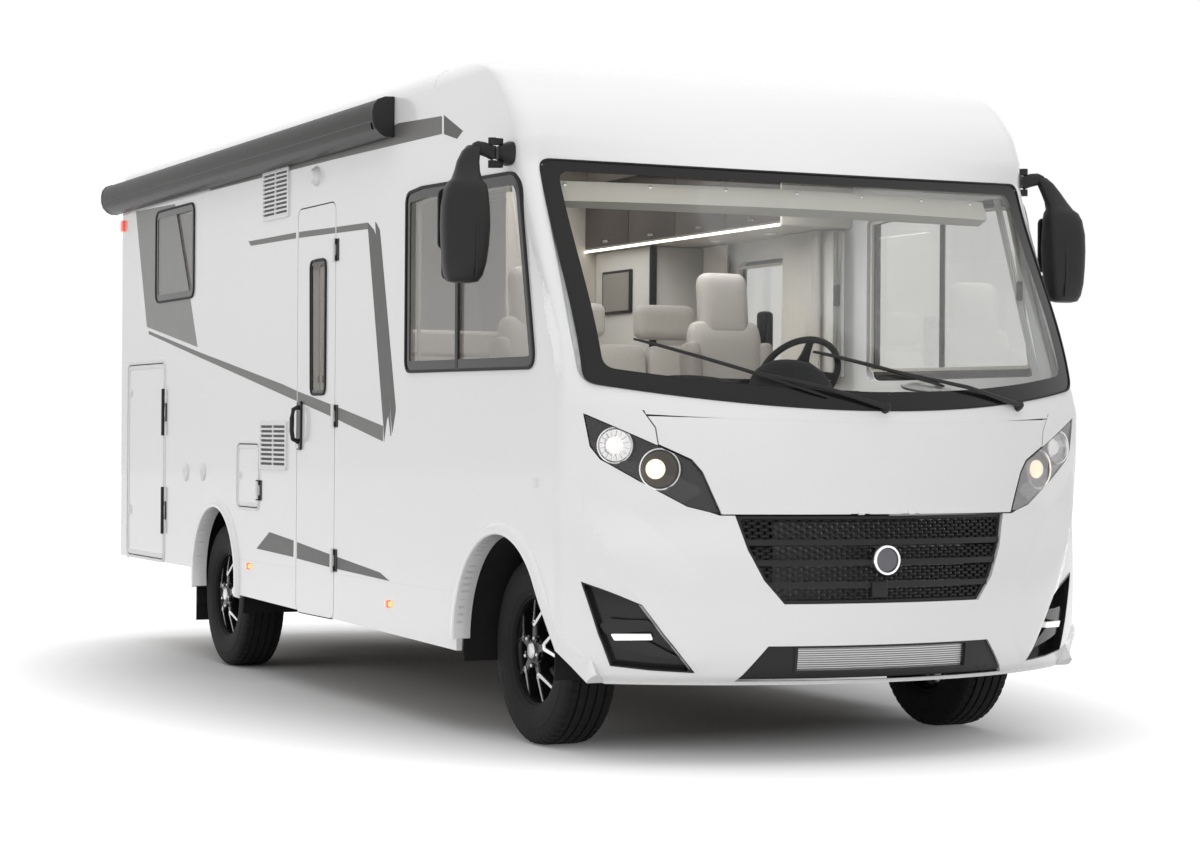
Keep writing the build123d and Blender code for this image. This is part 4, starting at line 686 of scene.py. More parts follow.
LAMP = [(1.094, 1.304), (0.862, 1.191), (0.82, 1.171), (0.74, 1.131), (0.704, 1.085), (0.64, 0.93),
    (0.755, 0.96), (0.911, 1.051), (1.039, 1.132), (1.072, 1.18)]
FOG = [(1.094, 0.68), (1.007, 0.644), (0.905, 0.598), (0.833, 0.488), (0.728, 0.348), (0.875, 0.356),
    (1.0, 0.37), (1.04, 0.484)]


def shrink(points, d):
    """Outline drawn in by a distance."""
    n = len(points)
    area = sum(points[i][0] * points[(i + 1) % n][1] - points[(i + 1) % n][0] * points[i][1] for i in range(n))
    sgn = 1 if area > 0 else -1
    out = []
    for i in range(n):
        p = Vector(points[i])
        a = (p - Vector(points[i - 1])).normalized()
        b = (Vector(points[(i + 1) % n]) - p).normalized()
        na = Vector((-a.y, a.x)) * sgn
        nb = Vector((-b.y, b.x)) * sgn
        m = (na + nb).normalized()
        k = max(m.dot(na), 0.45)
        out.append(tuple(p + m * (d / k)))
    return out


def placed(o, centre, direction):
    """Turns a piece built about the origin with its nose along -Y to face a direction, at a place."""
    d = Vector(direction).normalized()
    q = Vector((0, -1, 0)).rotation_difference(d)
    o.data.transform(Matrix.Translation(centre) @ q.to_matrix().to_4x4())
    return o


lamp_parts = []
for side, name in SIDES:
    sx = [(side * x, z) for x, z in LAMP]
    lamp = poly_points(sx, 0.006, 3)
    cups = [(0.987, 1.185, 0.064), (0.84, 1.098, 0.074)]
    holes = []
    for cx, cz, r in cups:
        holes.append([(side * cx + r * math.cos(a), cz + r * 0.96 * math.sin(a))
                for a in turns(28)])
    skin_patch(f"lamp_bezel_{name}", shrink(lamp, 0.003), -0.016, 0.006, M["satin_black"], holes=holes, step=0.06)
    skin_patch(f"lamp_wall_{name}", lamp, -0.001, 0.05, M["black"], holes=[shrink(lamp, 0.004)], step=0.08)
    skin_patch(f"lamp_cover_{name}", shrink(lamp, 0.003), -0.003, 0.003, M["lamp_glass"], step=0.06)
    for k, (cx, cz, r) in enumerate(cups):
        cy = skin_y(side * cx, cz) + 0.018
        face = (side * 0.3, -1, 0.0)
        ring = lathe(f"lamp_ring_{name}_{k}", [(-0.004, r - 0.001), (-0.004, r + 0.004), (0.004, r + 0.004),
                (0.004, r - 0.003)],
            (0, 0, 0), "y", M["chrome"], segments=48)
        placed(ring, (side * cx, cy, cz), face)
        bowl = lathe(f"lamp_bowl_{name}_{k}",
            [(0.0, r - 0.002), (0.01, r * 0.93), (0.022, r * 0.78), (0.034, r * 0.55), (0.042, r * 0.25),
                (0.044, 0.0005)],
            (0, 0, 0), "y", M["chrome"] if k == 0 else M["black"], segments=48, closed=False, smooth=60)
        placed(bowl, (side * cx, cy, cz), face)
        br = r * (0.52 if k == 0 else 0.5)
        off = side * (-0.004 if k == 0 else 0.012)
        bulb = lathe(f"lamp_lens_{name}_{k}",
            [(0.0, 0.0005), (0.003, br * 0.5), (0.009, br * 0.86), (0.017, br), (0.024, br * 0.96)],
            (0, 0, 0), "y", M["glow_white"] if k == 0 else M["glow_warm"], segments=40, closed=False, smooth=60)
        placed(bulb, (side * cx + off, cy + 0.004, cz), face)
        lamp_parts += [ring, bowl, bulb]
        if k == 0:
            for w in range(8):
                a = math.pi * w / 8 + 0.2
                q = ring_tube(f"lamp_rib_{name}_{w}",
                    [(math.cos(a) * r * s, 0.012 + 0.02 * (1 - abs(s)), math.sin(a) * r * s) for s in (-0.9, -0.6,
                            0.6, 0.9)],
                    0.0012, M["chrome"], sides=5)
                placed(q, (side * cx, cy, cz), face)
    fx = [(side * x, z) for x, z in FOG]
    fog = poly_points(fx, 0.006, 3)
    skin_patch(f"fog_floor_{name}", shrink(fog, 0.002), -0.048, 0.004, M["black"], step=0.05)
    skin_patch(f"fog_wall_{name}", fog, 0.002, 0.054, M["black"], holes=[shrink(fog, 0.005)], step=0.08)
    # day lamp: a black winged pod with a clear bar
    pod = [(1.04, 0.52), (1.01, 0.545), (0.96, 0.54), (0.89, 0.54), (0.868, 0.52), (0.9, 0.5), (1.02, 0.486)]
    skin_patch(f"fog_pod_top_{name}", [(side * x, z) for x, z in poly_points(pod, 0.008, 3)], -0.012, 0.03,
        M["black"],
        step=0.05)
    pod = [(1.01, 0.47), (0.89, 0.462), (0.81, 0.415), (0.77, 0.398), (0.85, 0.402), (0.93, 0.42), (1.0, 0.44)]
    skin_patch(f"fog_pod_low_{name}", [(side * x, z) for x, z in poly_points(pod, 0.008, 3)], -0.014, 0.028,
        M["black"],
        step=0.05)
    bar = [(1.005, 0.488), (0.88, 0.49), (0.872, 0.468), (0.992, 0.464)]
    skin_patch(f"fog_bar_{name}", [(side * x, z) for x, z in poly_points(bar, 0.004, 3)], -0.004, 0.02, M["led_bar"],
        step=0.04)
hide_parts("front_lamps")
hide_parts("headlamp_lenses")

# grille: rim, bars and a honeycomb
GR = both([(0.59, 0.928), (0.552, 0.8), (0.498, 0.69), (0.425, 0.602)])
grille_rim = skin_patch("grille_rim", poly_points(GR, 0.012, 3), -0.014, 0.03, M["satin_black"],
    holes=[poly_points(shrink(GR, 0.012), 0.012, 3)], step=0.06)
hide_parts("front_grilles")


def grille_half(z):
    zs = [0.602, 0.69, 0.8, 0.928]
    xs = [0.425, 0.498, 0.552, 0.59]
    return float(np.interp(z, zs, xs))


for i, z in enumerate((0.829, 0.753, 0.67)):
    w = grille_half(z) - 0.004
    bar = [(-w, z - 0.01), (w, z - 0.01), (w + 0.004, z + 0.012), (-w - 0.004, z + 0.012)]
    skin_patch(f"grille_bar_{i}", bar, -0.008, 0.024, M["satin_black"], step=0.06)


def honeycomb(name, z0, z1, cell_w, cell_h, wall, out, deep, mat, half):
    """Flattened hexagon mesh on the nose between two heights."""
    bm = bmesh.new()
    n = np.array([0.0, -1.0, 0.0])
    row = 0
    z = z0
    while z < z1 + cell_h * 0.2:
        hw = half(min(max(z, z0), z1))
        cols = int(hw / cell_w) + 2
        for c in range(-cols, cols + 1):
            x = (c + 0.5 * (row % 2)) * cell_w
            if abs(x) > hw + cell_w * 0.2:
                continue
            pts = [(x - cell_w * 0.5, z), (x - cell_w * 0.28, z + cell_h * 0.5),
                (x + cell_w * 0.28, z + cell_h * 0.5),
                (x + cell_w * 0.5, z), (x + cell_w * 0.28, z - cell_h * 0.5), (x - cell_w * 0.28, z - cell_h * 0.5)]
            hole = [(x + (px - x) * (1 - wall * 1.15 / (cell_w / 2)),
                    z + (pz - z) * (1 - wall / (cell_h / 2))) for px, pz in pts]
            pts = [(max(-hw, min(hw, px)), max(z0, min(z1, pz))) for px, pz in pts]
            hole = [(max(-hw, min(hw, px)), max(z0, min(z1, pz))) for px, pz in hole]
            if max(p[0] for p in pts) - min(p[0] for p in pts) < 0.3 * cell_w:
                continue
            po, ho = on_skin(pts, out), on_skin(hole, out)
            pi, hi = on_skin(pts, out - deep), on_skin(hole, out - deep)
            A = [bm.verts.new(p) for p in po]
            B = [bm.verts.new(p) for p in ho]
            C = [bm.verts.new(p) for p in pi]
            D = [bm.verts.new(p) for p in hi]
            for k in range(6):
                j = (k + 1) % 6
                bm.faces.new((A[k], A[j], B[j], B[k]))
                bm.faces.new((B[k], B[j], D[j], D[k]))
                bm.faces.new((C[j], C[k], D[k], D[j]))
        row += 1
        z += cell_h * 0.5 * 1.0
    bmesh.ops.dissolve_degenerate(bm, edges=bm.edges[:], dist=1e-5)
    return from_bm(name, bm, mat, ROOT, None)


for i, (z0, z1) in enumerate(((0.843, 0.915), (0.766, 0.817), (0.684, 0.741), (0.612, 0.658))):
    honeycomb(f"grille_mesh_{i}", z0, z1, 0.044, 0.0235, 0.0022, -0.018, 0.014, M["satin_black"],
        lambda z: grille_half(z) - 0.012)
# what shows behind the grille
bm = bmesh.new()
box_bm(bm, (-0.42, aft(-0.885), 0.5), (0.42, aft(-0.84), 0.9))
bevel_all(bm, 0.004)
rad = from_bm("radiator_core", bm, M["core_dark"], smooth=30)

badge_y = skin_y(-0.02, 0.762)
badge = lathe("grille_badge", [(-0.01, 0.0005), (-0.01, 0.042), (-0.006, 0.047), (0.0, 0.047), (0.0, 0.0005)],
    (0, 0, 0), "y",
    M["badge"], segments=56)
placed(badge, (-0.02, badge_y - 0.004, 0.762), (0, -1, 0))
bring = lathe("grille_badge_ring", [(-0.014, 0.047), (-0.014, 0.055), (-0.008, 0.059), (0.012, 0.059),
        (0.012, 0.047)], (0, 0, 0), "y",
    M["chrome"], segments=64)
placed(bring, (-0.02, badge_y - 0.004, 0.762), (0, -1, 0))
slab("grille_sensor", (-0.08, skin_y(-0.046, 0.65) - 0.002, 0.622), (-0.012, skin_y(-0.046, 0.65) + 0.03, 0.682),
    M["satin_black"],
    bevel=0.006)

# lower intake
IN = both([(0.48, 0.447), (0.585, 0.316)])
skin_patch("intake_frame", poly_points(IN, 0.01, 3), -0.01, 0.02, M["satin_black"],
    holes=[rect(-0.372, 0.372, 0.346, 0.44, 0.004, 2)], step=0.05)
core = skin_patch("cooler_core", rect(-0.372, 0.372, 0.346, 0.44), -0.022, 0.04, M["core"], step=0.05)
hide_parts("charge_cooler")
for i in range(11):
    z = 0.35 + i * 0.0086
    skin_patch(f"cooler_tube_{i}", rect(-0.368, 0.368, z, z + 0.0022), -0.018, 0.006, M["chrome_dull"],
        step=0.12)
skin_patch("cooler_rim", rect(-0.38, 0.38, 0.34, 0.446), -0.006, 0.016, M["satin_black"],
    holes=[rect(-0.368, 0.368, 0.35, 0.438)], step=0.1)


# ---- the sides
def side_x(y, z):
    """Half width of the body's outer skin at a place in a side view."""
    c, r, hw = level(z)
    cx = hw - CORNER
    my = c + r
    cy = my - math.sqrt((r - CORNER) ** 2 - cx**2)
    if y >= cy or y > AXLE + 1.0:
        return float(hw)
    return float(cx + math.sqrt(max(CORNER**2 - (cy - y) ** 2, 0)))


def side_patch(name, side, outline, out, thick, mat, body=ROOT, holes=(), step=0.03, edge_step=0.03):
    """A plate on the body's side that follows it round the front corner: outline (y, z)."""
    bm = sheet_bm(outline, holes, edge_step, lambda y, z: (0, y, z))
    low = min(v.co.y for v in bm.verts)
    if low < AXLE:
        grid_cut(bm, ys=np.arange(math.ceil(low / step) * step, AXLE + 0.1, step),
            zs=np.arange(1.4, 2.4, 0.12))
    for v in bm.verts:
        v.co.x = side * (side_x(v.co.y, v.co.z) + out)
    bmesh.ops.recalc_face_normals(bm, faces=bm.faces[:])
    if sum(f.normal.x for f in bm.faces) * side < 0:
        bmesh.ops.reverse_faces(bm, faces=bm.faces[:])
    solid_bm(bm, (-side * thick, 0, 0))
    return from_bm(name, bm, mat, body, 30)


def soften(o, width, segments=2, angle=40):
    """Rounds the hard edges of a finished piece."""
    m = o.modifiers.new("rounding", "BEVEL")
    m.width = width
    m.segments = segments
    m.limit_method = "ANGLE"
    m.angle_limit = math.radians(angle)
    m.harden_normals = True
    return o


CAB = [(-1.373, 2.248), (-1.56, 2.262), (-2.585, 2.24), (-2.752, 1.47), (-1.372, 1.48)]
CAB_R = [0.06, 0.3, 0.13, 0.07, 0.06]
REAR_WINDOW = rect(aft(4.17), aft(4.93), 1.94, 2.458, 0.07)
KITCHEN = rect(aft(2.9), aft(3.56), 1.56, 2.11, 0.07)
DINETTE = rect(aft(1.5), aft(2.3), 1.48, 2.11, 0.07)


def window(name, side, outline, rail=0.044, body=ROOT, divider=None):
    inner = shrink(outline, rail)
    lip = shrink(outline, 0.012)
    ring = side_patch(f"{name}_seal", side, outline, 0.0085, 0.012, M["rubber"], body, [lip])
    soften(ring, 0.003)
    side_patch(f"{name}_border", side, lip, 0.004, 0.006, M["black"], body, [inner])
    trim = side_patch(f"{name}_inner", side, shrink(outline, rail - 0.01), -0.034, 0.012, M["blind"], body,
        [shrink(outline, rail + 0.004)])
    soften(trim, 0.003)
    if divider:
        zs = [p[1] for p in outline]
        bar = side_patch(f"{name}_divider", side, rect(divider - 0.016, divider + 0.016, min(zs) + 0.02,
                max(zs) - 0.02), 0.006,
            0.012, M["satin_black"], body)
        soften(bar, 0.003)
    return ring


for side, word in SIDES:
    cab = poly_points(CAB, CAB_R, 8)
    last = window(f"cab_window_{word}", side, cab, 0.05, divider=aft(0.427))
    window(f"rear_window_{word}", side, REAR_WINDOW, 0.044)
    if side > 0:
        window("kitchen_window", side, KITCHEN, 0.044)
        window("dinette_window", side, DINETTE, 0.044)
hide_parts("window_frames")


def film(name, side, outline, mat, body=ROOT):
    """Coloured film on the body side."""
    return side_sheet(name, side, outline, HALF - 0.002, HALF + 0.0006, mat, body)


def band(points_top, points_low, y0, y1, steps=6, drop=0.0):
    ys = np.linspace(y0, y1, steps)
    tx, tz = zip(*points_top)
    lx, lz = zip(*points_low)
    top = [(float(y), float(np.interp(y, tx, tz)) - drop) for y in ys]
    low = [(float(y), float(np.interp(y, lx, lz)) - drop) for y in ys]
    return top + low[::-1]


DIAG_TOP = [(-1.101, 1.255), (-0.507, 1.341), (0.085, 1.423), (0.221, 1.447), (1.702, 1.648), (2.7, 1.793)]
DIAG_LOW = [(-1.102, 1.187), (-0.433, 1.296), (1.702, 1.621), (2.7, 1.775)]
DOOR_Y = (aft(1.913), aft(2.445))
DOOR_Z = (0.372, 2.28)
for side, word in SIDES:
    g, d = M["grey_stripe"], M["dark_stripe"]
    drop = 0.0 if side < 0 else 0.035
    leaf = "door" if side < 0 else ROOT
    film(f"stripe_top_{word}", side, [(1.521, 2.492), (1.521, 2.512), (-0.4, 2.508), (-1.271, 2.557), (-1.769, 2.534),
            (-1.771, 2.46),
            (-0.408, 2.478)], g)
    film(f"stripe_tip_{word}", side, [(-1.791, 2.536), (-2.0, 2.449), (-1.936, 2.423), (-1.793, 2.457)], d)
    film(f"loop_top_a_{word}", side, [(0.847, 2.183), (0.805, 2.158), (0.101, 2.15), (0.101, 2.178)], g)
    film(f"loop_top_b_{word}", side, [(0.056, 2.178), (-0.46, 2.165), (-0.46, 2.138), (0.056, 2.149)], g, leaf)
    film(f"loop_top_c_{word}", side, [(-0.478, 2.165), (-0.894, 2.156), (-0.894, 2.127), (-0.478, 2.137)], g)
    outer_loop = [(-0.894, 2.156), (-0.995, 2.151), (-1.046, 2.113), (-1.258, 1.324), (-1.212, 1.216),
        (-1.115, 1.184)]
    inner_loop = [(-1.105, 1.259), (-1.161, 1.289), (-1.178, 1.367), (-0.996, 2.094), (-0.965, 2.124),
        (-0.894, 2.127)]
    film(f"loop_front_{word}", side, poly_points(outer_loop + inner_loop,
            [0, 0.03, 0.03, 0.05, 0.04, 0, 0, 0.03, 0.05, 0.03, 0.02, 0], 4),
        d)
    film(f"stripe_mid_a_{word}", side, band(DIAG_TOP, DIAG_LOW, -1.101, DOOR_Y[0] - 0.009, 8, drop), g)
    film(f"stripe_mid_b_{word}", side, band(DIAG_TOP, DIAG_LOW, DOOR_Y[0] + 0.006, DOOR_Y[1] - 0.006, 6, drop), g,
        leaf)
    film(f"stripe_mid_c_{word}", side, band(DIAG_TOP, DIAG_LOW, DOOR_Y[1] + 0.009, 2.7, 14, drop), g)
    film(f"panel_rear_{word}", side, [(2.991, 2.493), (2.182, 2.474), (1.869, 1.933), (1.731, 1.675), (2.737, 1.817)],
        M["rear_film"])
    film(f"stripe_low_a_{word}", side, [(0.681, 0.644), (0.476, 0.734), (0.105, 0.707), (0.108, 0.628)], d)
    film(f"stripe_low_b_{word}", side, [(0.055, 0.702), (-0.455, 0.662), (-0.455, 0.604), (0.055, 0.624)], d, leaf)
    film(f"stripe_low_c_{word}", side, [(-0.485, 0.66), (-1.075, 0.615), (-1.193, 0.584), (-0.485, 0.603)], d)


# entry door: a bevelled leaf with its window, handle, hinge covers and seal
def set_on(o, side, x, y, z):
    """Moves a piece built for the left side to its place, mirrored if that is on the right."""
    o.data.transform(Matrix.Translation((x, y, z)) @ Matrix.Scale(side, 4, (1, 0, 0)))
    if side < 0:
        o.data.flip_normals()


def groove(name, side, y0, y1, z0, z1, radius, width=0.006, out=-0.0035):
    """Dark rubber line round a leaf."""
    ring = rect(y0 - width, y1 + width, z0 - width, z1 + width, radius + width)
    hole = rect(y0 + 0.001, y1 - 0.001, z0 + 0.001, z1 - 0.001, radius)
    return side_sheet(name, side, ring, HALF - 0.026, HALF + out, M["rubber"], holes=[hole])


def lip(name, side, y0, y1, z0, z1, radius, width, out):
    """Slim raised frame round a leaf."""
    ring = rect(y0 - width, y1 + width, z0 - width, z1 + width, radius + width)
    hole = rect(y0 - 0.007, y1 + 0.007, z0 - 0.007, z1 + 0.007, radius + 0.007)
    o = side_sheet(name, side, ring, HALF - 0.004, HALF + out, M["trim_white"], holes=[hole])
    return soften(o, 0.0018, 2)


groove("entry_seal", -1, DOOR_Y[0], DOOR_Y[1], DOOR_Z[0], DOOR_Z[1], 0.045)
door_pane = poly_points([(-0.12, 2.032), (-0.35, 2.03), (-0.348, 1.396), (-0.134, 1.396)], 0.045, 6)
window("door_window", -1, door_pane, 0.026, "door")

handle_plate = poly_points([(-0.018, 1.372), (0.044, 1.372), (0.052, 1.14), (-0.012, 1.14)], 0.018, 5)
hp = side_sheet("door_handle_plate", -1, handle_plate, HALF, HALF + 0.012, M["black"], "door")
soften(hp, 0.004, 3)
ring_tube("door_handle_bar", [(-HALF - 0.01, 0.016, 1.345), (-HALF - 0.036, 0.017, 1.332),
        (-HALF - 0.042, 0.018, 1.29),
        (-HALF - 0.042, 0.02, 1.23), (-HALF - 0.036, 0.021, 1.192), (-HALF - 0.01, 0.022, 1.18)],
    0.011, M["satin_black"], "door", sides=12)
lathe("door_lock", [(HALF + 0.01, 0.0005), (HALF + 0.01, 0.013), (HALF + 0.016, 0.012), (HALF + 0.016, 0.0005)],
    (0, 0, 0), "x",
    M["chrome_dull"], "door", 24).data.transform(Matrix.Translation((0, 0.018,
            1.158)) @ Matrix.Scale(-1, 4, (1, 0, 0)))


# garage doors and service hatch
GARAGE = (aft(4.74), aft(5.5), 0.515, 1.6)
HATCH = (aft(3.03), aft(3.38), 0.85, 1.16)


def turn_lock(name, side, y, z, body, r=0.026):
    """Round turning lock with a recessed grip."""
    o = lathe(name, [(HALF - 0.001, 0.0005), (HALF - 0.001, r + 0.004), (HALF + 0.003, r + 0.003),
            (HALF + 0.004, r - 0.004),
            (HALF + 0.002, r - 0.006), (HALF + 0.002, 0.0005)], (0, 0, 0), "x", M["trim_white"], body, 32)
    bm = bmesh.new()
    box_bm(bm, (HALF + 0.001, -r * 0.72, -0.004), (HALF + 0.008, r * 0.72, 0.004))
    bevel_all(bm, 0.002, 2)
    k = from_bm(f"{name}_grip", bm, M["trim_white"], body, 35)
    for p in (o, k):
        set_on(p, side, 0, y, z)


def hinge_barrel(name, side, y, z, body, mat, length=0.11):
    x = side * (HALF + 0.01)
    h = length / 2
    lathe(name, [(-h, 0.0005), (-h, 0.0075), (-h + 0.002, 0.0097), (h - 0.002, 0.0097), (h, 0.0075), (h, 0.0005)],
        (x, y, z), "z",
        mat, body, 24)
    x0, x1 = span(side, HALF + 0.0002, HALF + 0.0055)
    slab(f"{name}_leaf", (x0, y + 0.008, z - h * 0.8), (x1, y + 0.042, z + h * 0.8), mat, body, 0.002, 2)


for z in (0.64, 1.3, 2.06):
    hinge_barrel(f"entry_hinge_{int(z * 1000)}", -1, aft(1.91), z, "door", M["trim_white"])
for side, word in SIDES:
    y0, y1, z0, z1 = GARAGE
    body = f"garage_{word}"
    groove(f"garage_seal_{word}", side, y0, y1, z0, z1, 0.04)
    lip(f"garage_lip_{word}", side, y0, y1, z0, z1, 0.04, 0.022, 0.0045)
    ring = rect(y0 + 0.004, y1 - 0.004, z0 + 0.004, z1 - 0.004, 0.038)
    hole = rect(y0 + 0.024, y1 - 0.024, z0 + 0.024, z1 - 0.024, 0.022)
    o = side_sheet(f"garage_frame_{word}", side, ring, HALF - 0.002, HALF + 0.0035, M["trim_white"], body,
        holes=[hole])
    soften(o, 0.0015, 2)
    for z in (1.445, 0.77):
        turn_lock(f"garage_lock_{word}_{int(z * 1000)}", side, y1 - 0.055, z, body)
    for z in (0.785, 1.33):
        hinge_barrel(f"garage_hinge_{word}_{int(z * 1000)}", side, y0 - 0.003, z, body, M["satin_black"], 0.26)
y0, y1, z0, z1 = HATCH
groove("hatch_seal", -1, y0, y1, z0, z1, 0.04, 0.006)
lip("hatch_lip", -1, y0, y1, z0, z1, 0.04, 0.018, 0.004)
ring = rect(y0 + 0.004, y1 - 0.004, z0 + 0.004, z1 - 0.004, 0.038)
hole = rect(y0 + 0.02, y1 - 0.02, z0 + 0.02, z1 - 0.02, 0.024)
o = side_sheet("hatch_frame", -1, ring, HALF - 0.002, HALF + 0.003, M["trim_white"], "hatch", holes=[hole])
soften(o, 0.0012, 2)
turn_lock("hatch_lock", -1, y1 - 0.045, 1.005, "hatch", 0.018)
hinge_barrel("hatch_hinge", -1, y0 - 0.003, 0.935, "hatch", M["trim_white"], 0.09)


# fridge vents: a frame with slots between blades
def vent(name, side, y0, y1, z0, z1, slots):
    frame_w, mid = 0.018, 0.012
    ring = rect(y0, y1, z0, z1, 0.014)
    holes = []
    pitch = (z1 - z0 - 2 * frame_w) / slots
    ym = (y0 + y1) / 2
    for i in range(slots):
        za = z0 + frame_w + i * pitch + pitch * 0.22
        zb = z0 + frame_w + (i + 1) * pitch - pitch * 0.22
        for a, b in ((y0 + frame_w, ym - mid / 2), (ym + mid / 2, y1 - frame_w)):
            holes.append(rect(a, b, za, zb, 0.003, 2))
    o = side_sheet(name, side, ring, HALF - 0.001, HALF + 0.009, M["trim_white"], holes=holes)
    soften(o, 0.002, 2)
    # dark sheet behind the slots: painted shade of the vent's inside
    bm = bmesh.new()
    x0, x1 = span(side, HALF, HALF + 0.002)
    box_bm(bm, (x0, y0 + 0.01, z0 + 0.01), (x1, y1 - 0.01, z1 - 0.01))
    from_bm(f"{name}_back", bm, M["dark_plastic"])
    return o


vents = [vent("upper_vent", -1, aft(2.58), aft(2.98), 2.262, 2.51, 10),
    vent("lower_vent", -1, aft(2.59), aft(3.0), 1.04, 1.28, 9)]
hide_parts("side_vents")


def round_cap(name, y, z, r):
    """Filler cap: a domed ring round a lid with a keyhole."""
    o = lathe(name, [(-0.001, 0.0005), (-0.001, r), (0.004, r + 0.001), (0.008, r - 0.004), (0.007, r - 0.01),
            (0.009, r - 0.014),
            (0.012, r * 0.4), (0.013, 0.0005)], (0, 0, 0), "x", M["trim_white"], ROOT, 48)
    k = lathe(f"{name}_key", [(0.011, 0.0005), (0.011, 0.007), (0.0145, 0.006), (0.0145, 0.0005)], (0, 0, 0), "x",
        M["chrome_dull"], ROOT, 20)
    for p in (o, k):
        set_on(p, -1, -HALF, y, z)


round_cap("cap_water", 1.932, 1.005, 0.048)
round_cap("cap_power", 1.613, 1.01, 0.046)
slab("small_square_cap", (-HALF - 0.004, -2.772, 1.024), (-HALF + 0.002, -2.736, 1.062), M["trim_white"], bevel=0.003)
# heater cowl
o = lathe("heater_cowl", [(-0.001, 0.0005), (-0.001, 0.048), (0.006, 0.047), (0.02, 0.036), (0.03, 0.03),
        (0.034, 0.02), (0.034, 0.0005)],
    (0, 0, 0), "x", M["trim_white"], ROOT, 40)
set_on(o, -1, -HALF, aft(2.18), 2.42)
for side, word in SIDES:
    a, b = span(side, HALF - 0.001, HALF + 0.01)
    for y, z in ((aft(1.19), 0.485), (aft(3.18), 0.551)):
        slab(f"marker_{word}_{int(z * 1000)}", (a, y - 0.03, z - 0.011), (b, y + 0.03, z + 0.011), M["lamp_amber"],
            bevel=0.004)
for side, word in SIDES:
    a, b = span(side, 1.158, 1.176)
    slab(f"rear_marker_{word}", (a, aft(5.6), 2.392), (b, aft(5.662), 2.458), M["lamp_red"], bevel=0.008)


# ---- awning case
AWN_Y = (aft(1.16), aft(5.78))
AWN = [(0.0, 2.503), (0.04, 2.503), (0.064, 2.514), (0.09, 2.54), (0.1, 2.572), (0.101, 2.606), (0.094, 2.638),
    (0.074, 2.662),
    (0.042, 2.674), (0.0, 2.676)]


def awning_length(name, profile, y0, y1, mat):
    """Section (out from the right side, height) drawn out along the body."""
    bm = bmesh.new()
    bm.faces.new([bm.verts.new((-HALF - u, y0, z)) for u, z in profile])
    solid_bm(bm, (0, y1 - y0, 0))
    return from_bm(name, bm, mat, ROOT, 40)


case = awning_length("awning_case", AWN, AWN_Y[0] + 0.018, AWN_Y[1] - 0.018, M["awning"])
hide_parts("awning")
for i, (a, b) in enumerate(((AWN_Y[0], AWN_Y[0] + 0.02), (AWN_Y[1] - 0.02, AWN_Y[1]))):
    big = [(u + (0.0015 if u > 0 else 0), z + (0.002 if z > 2.6 else -0.002)) for u, z in AWN]
    soften(awning_length(f"awning_end_{i}", big, a, b, M["satin_black"]), 0.005, 3)
for name, profile, mat in (
        ("front_rail", [(0.084, 2.536), (0.0965, 2.562), (0.0995, 2.562), (0.101, 2.552), (0.094, 2.532)],
            M["awning"]),
        ("groove", [(0.0955, 2.566), (0.1, 2.566), (0.1, 2.5685), (0.0955, 2.5685)], M["seam"])):
    awning_length(f"awning_{name}", profile, AWN_Y[0] + 0.03, AWN_Y[1] - 0.03, mat)


# ---- the wheels
HUB_Z = 0.372          # height of the wheels' centres


def tyre_mesh(name, x0, y0, side, body):
    """Tyre with four grooves round it, cut shoulder blocks and a ribbed side wall."""
    prof = [(0.086, 0.212), (0.094, 0.216), (0.1, 0.226), (0.104, 0.236), (0.1055, 0.238), (0.1055, 0.242),
        (0.1085, 0.25),
        (0.1115, 0.27), (0.112, 0.29), (0.1115, 0.3), (0.1122, 0.302), (0.1118, 0.306), (0.1105, 0.309),
        (0.1085, 0.326),
        (0.1055, 0.34), (0.1015, 0.352), (0.096, 0.36), (0.088, 0.3665)]
    cross = [(0.064, 0.3695)]
    for g in (0.056, 0.019):
        cross += [(g + 0.0045, 0.3705), (g + 0.003, 0.3625), (g - 0.003, 0.3625), (g - 0.0045, 0.3708)]
    right = prof + cross
    left = [(-u, r) for u, r in reversed(right)]
    full = right + left + [(-0.086, 0.207), (0.086, 0.207)]
    n = 216
    marks = [i for i, (u, r) in enumerate(full) if abs(u) > 0.0625 and r > 0.325]
    bm = bmesh.new()
    rings = []
    for k in range(n):
        a = 2 * math.pi * k / n
        ring = []
        for i, (u, r) in enumerate(full):
            rr = r
            if i in marks and k % 4 == (0 if u > 0 else 2):
                rr -= 0.0055 if abs(u) < 0.1 else 0.003
            if 0.004 < abs(u) < 0.05 and r > 0.369 and k % 8 == 0:
                rr -= 0.0035
            ring.append(bm.verts.new((x0 + side * u, y0 + rr * math.cos(a), HUB_Z + rr * math.sin(a))))
        rings.append(ring)
    m = len(full)
    for k in range(n):
        r0, r1 = rings[k], rings[(k + 1) % n]
        for i in range(m):
            j = (i + 1) % m
            bm.faces.new((r0[i], r0[j], r1[j], r1[i]))
    bmesh.ops.recalc_face_normals(bm, faces=bm.faces[:])
    return from_bm(name, bm, M["tyre"], body, 24)


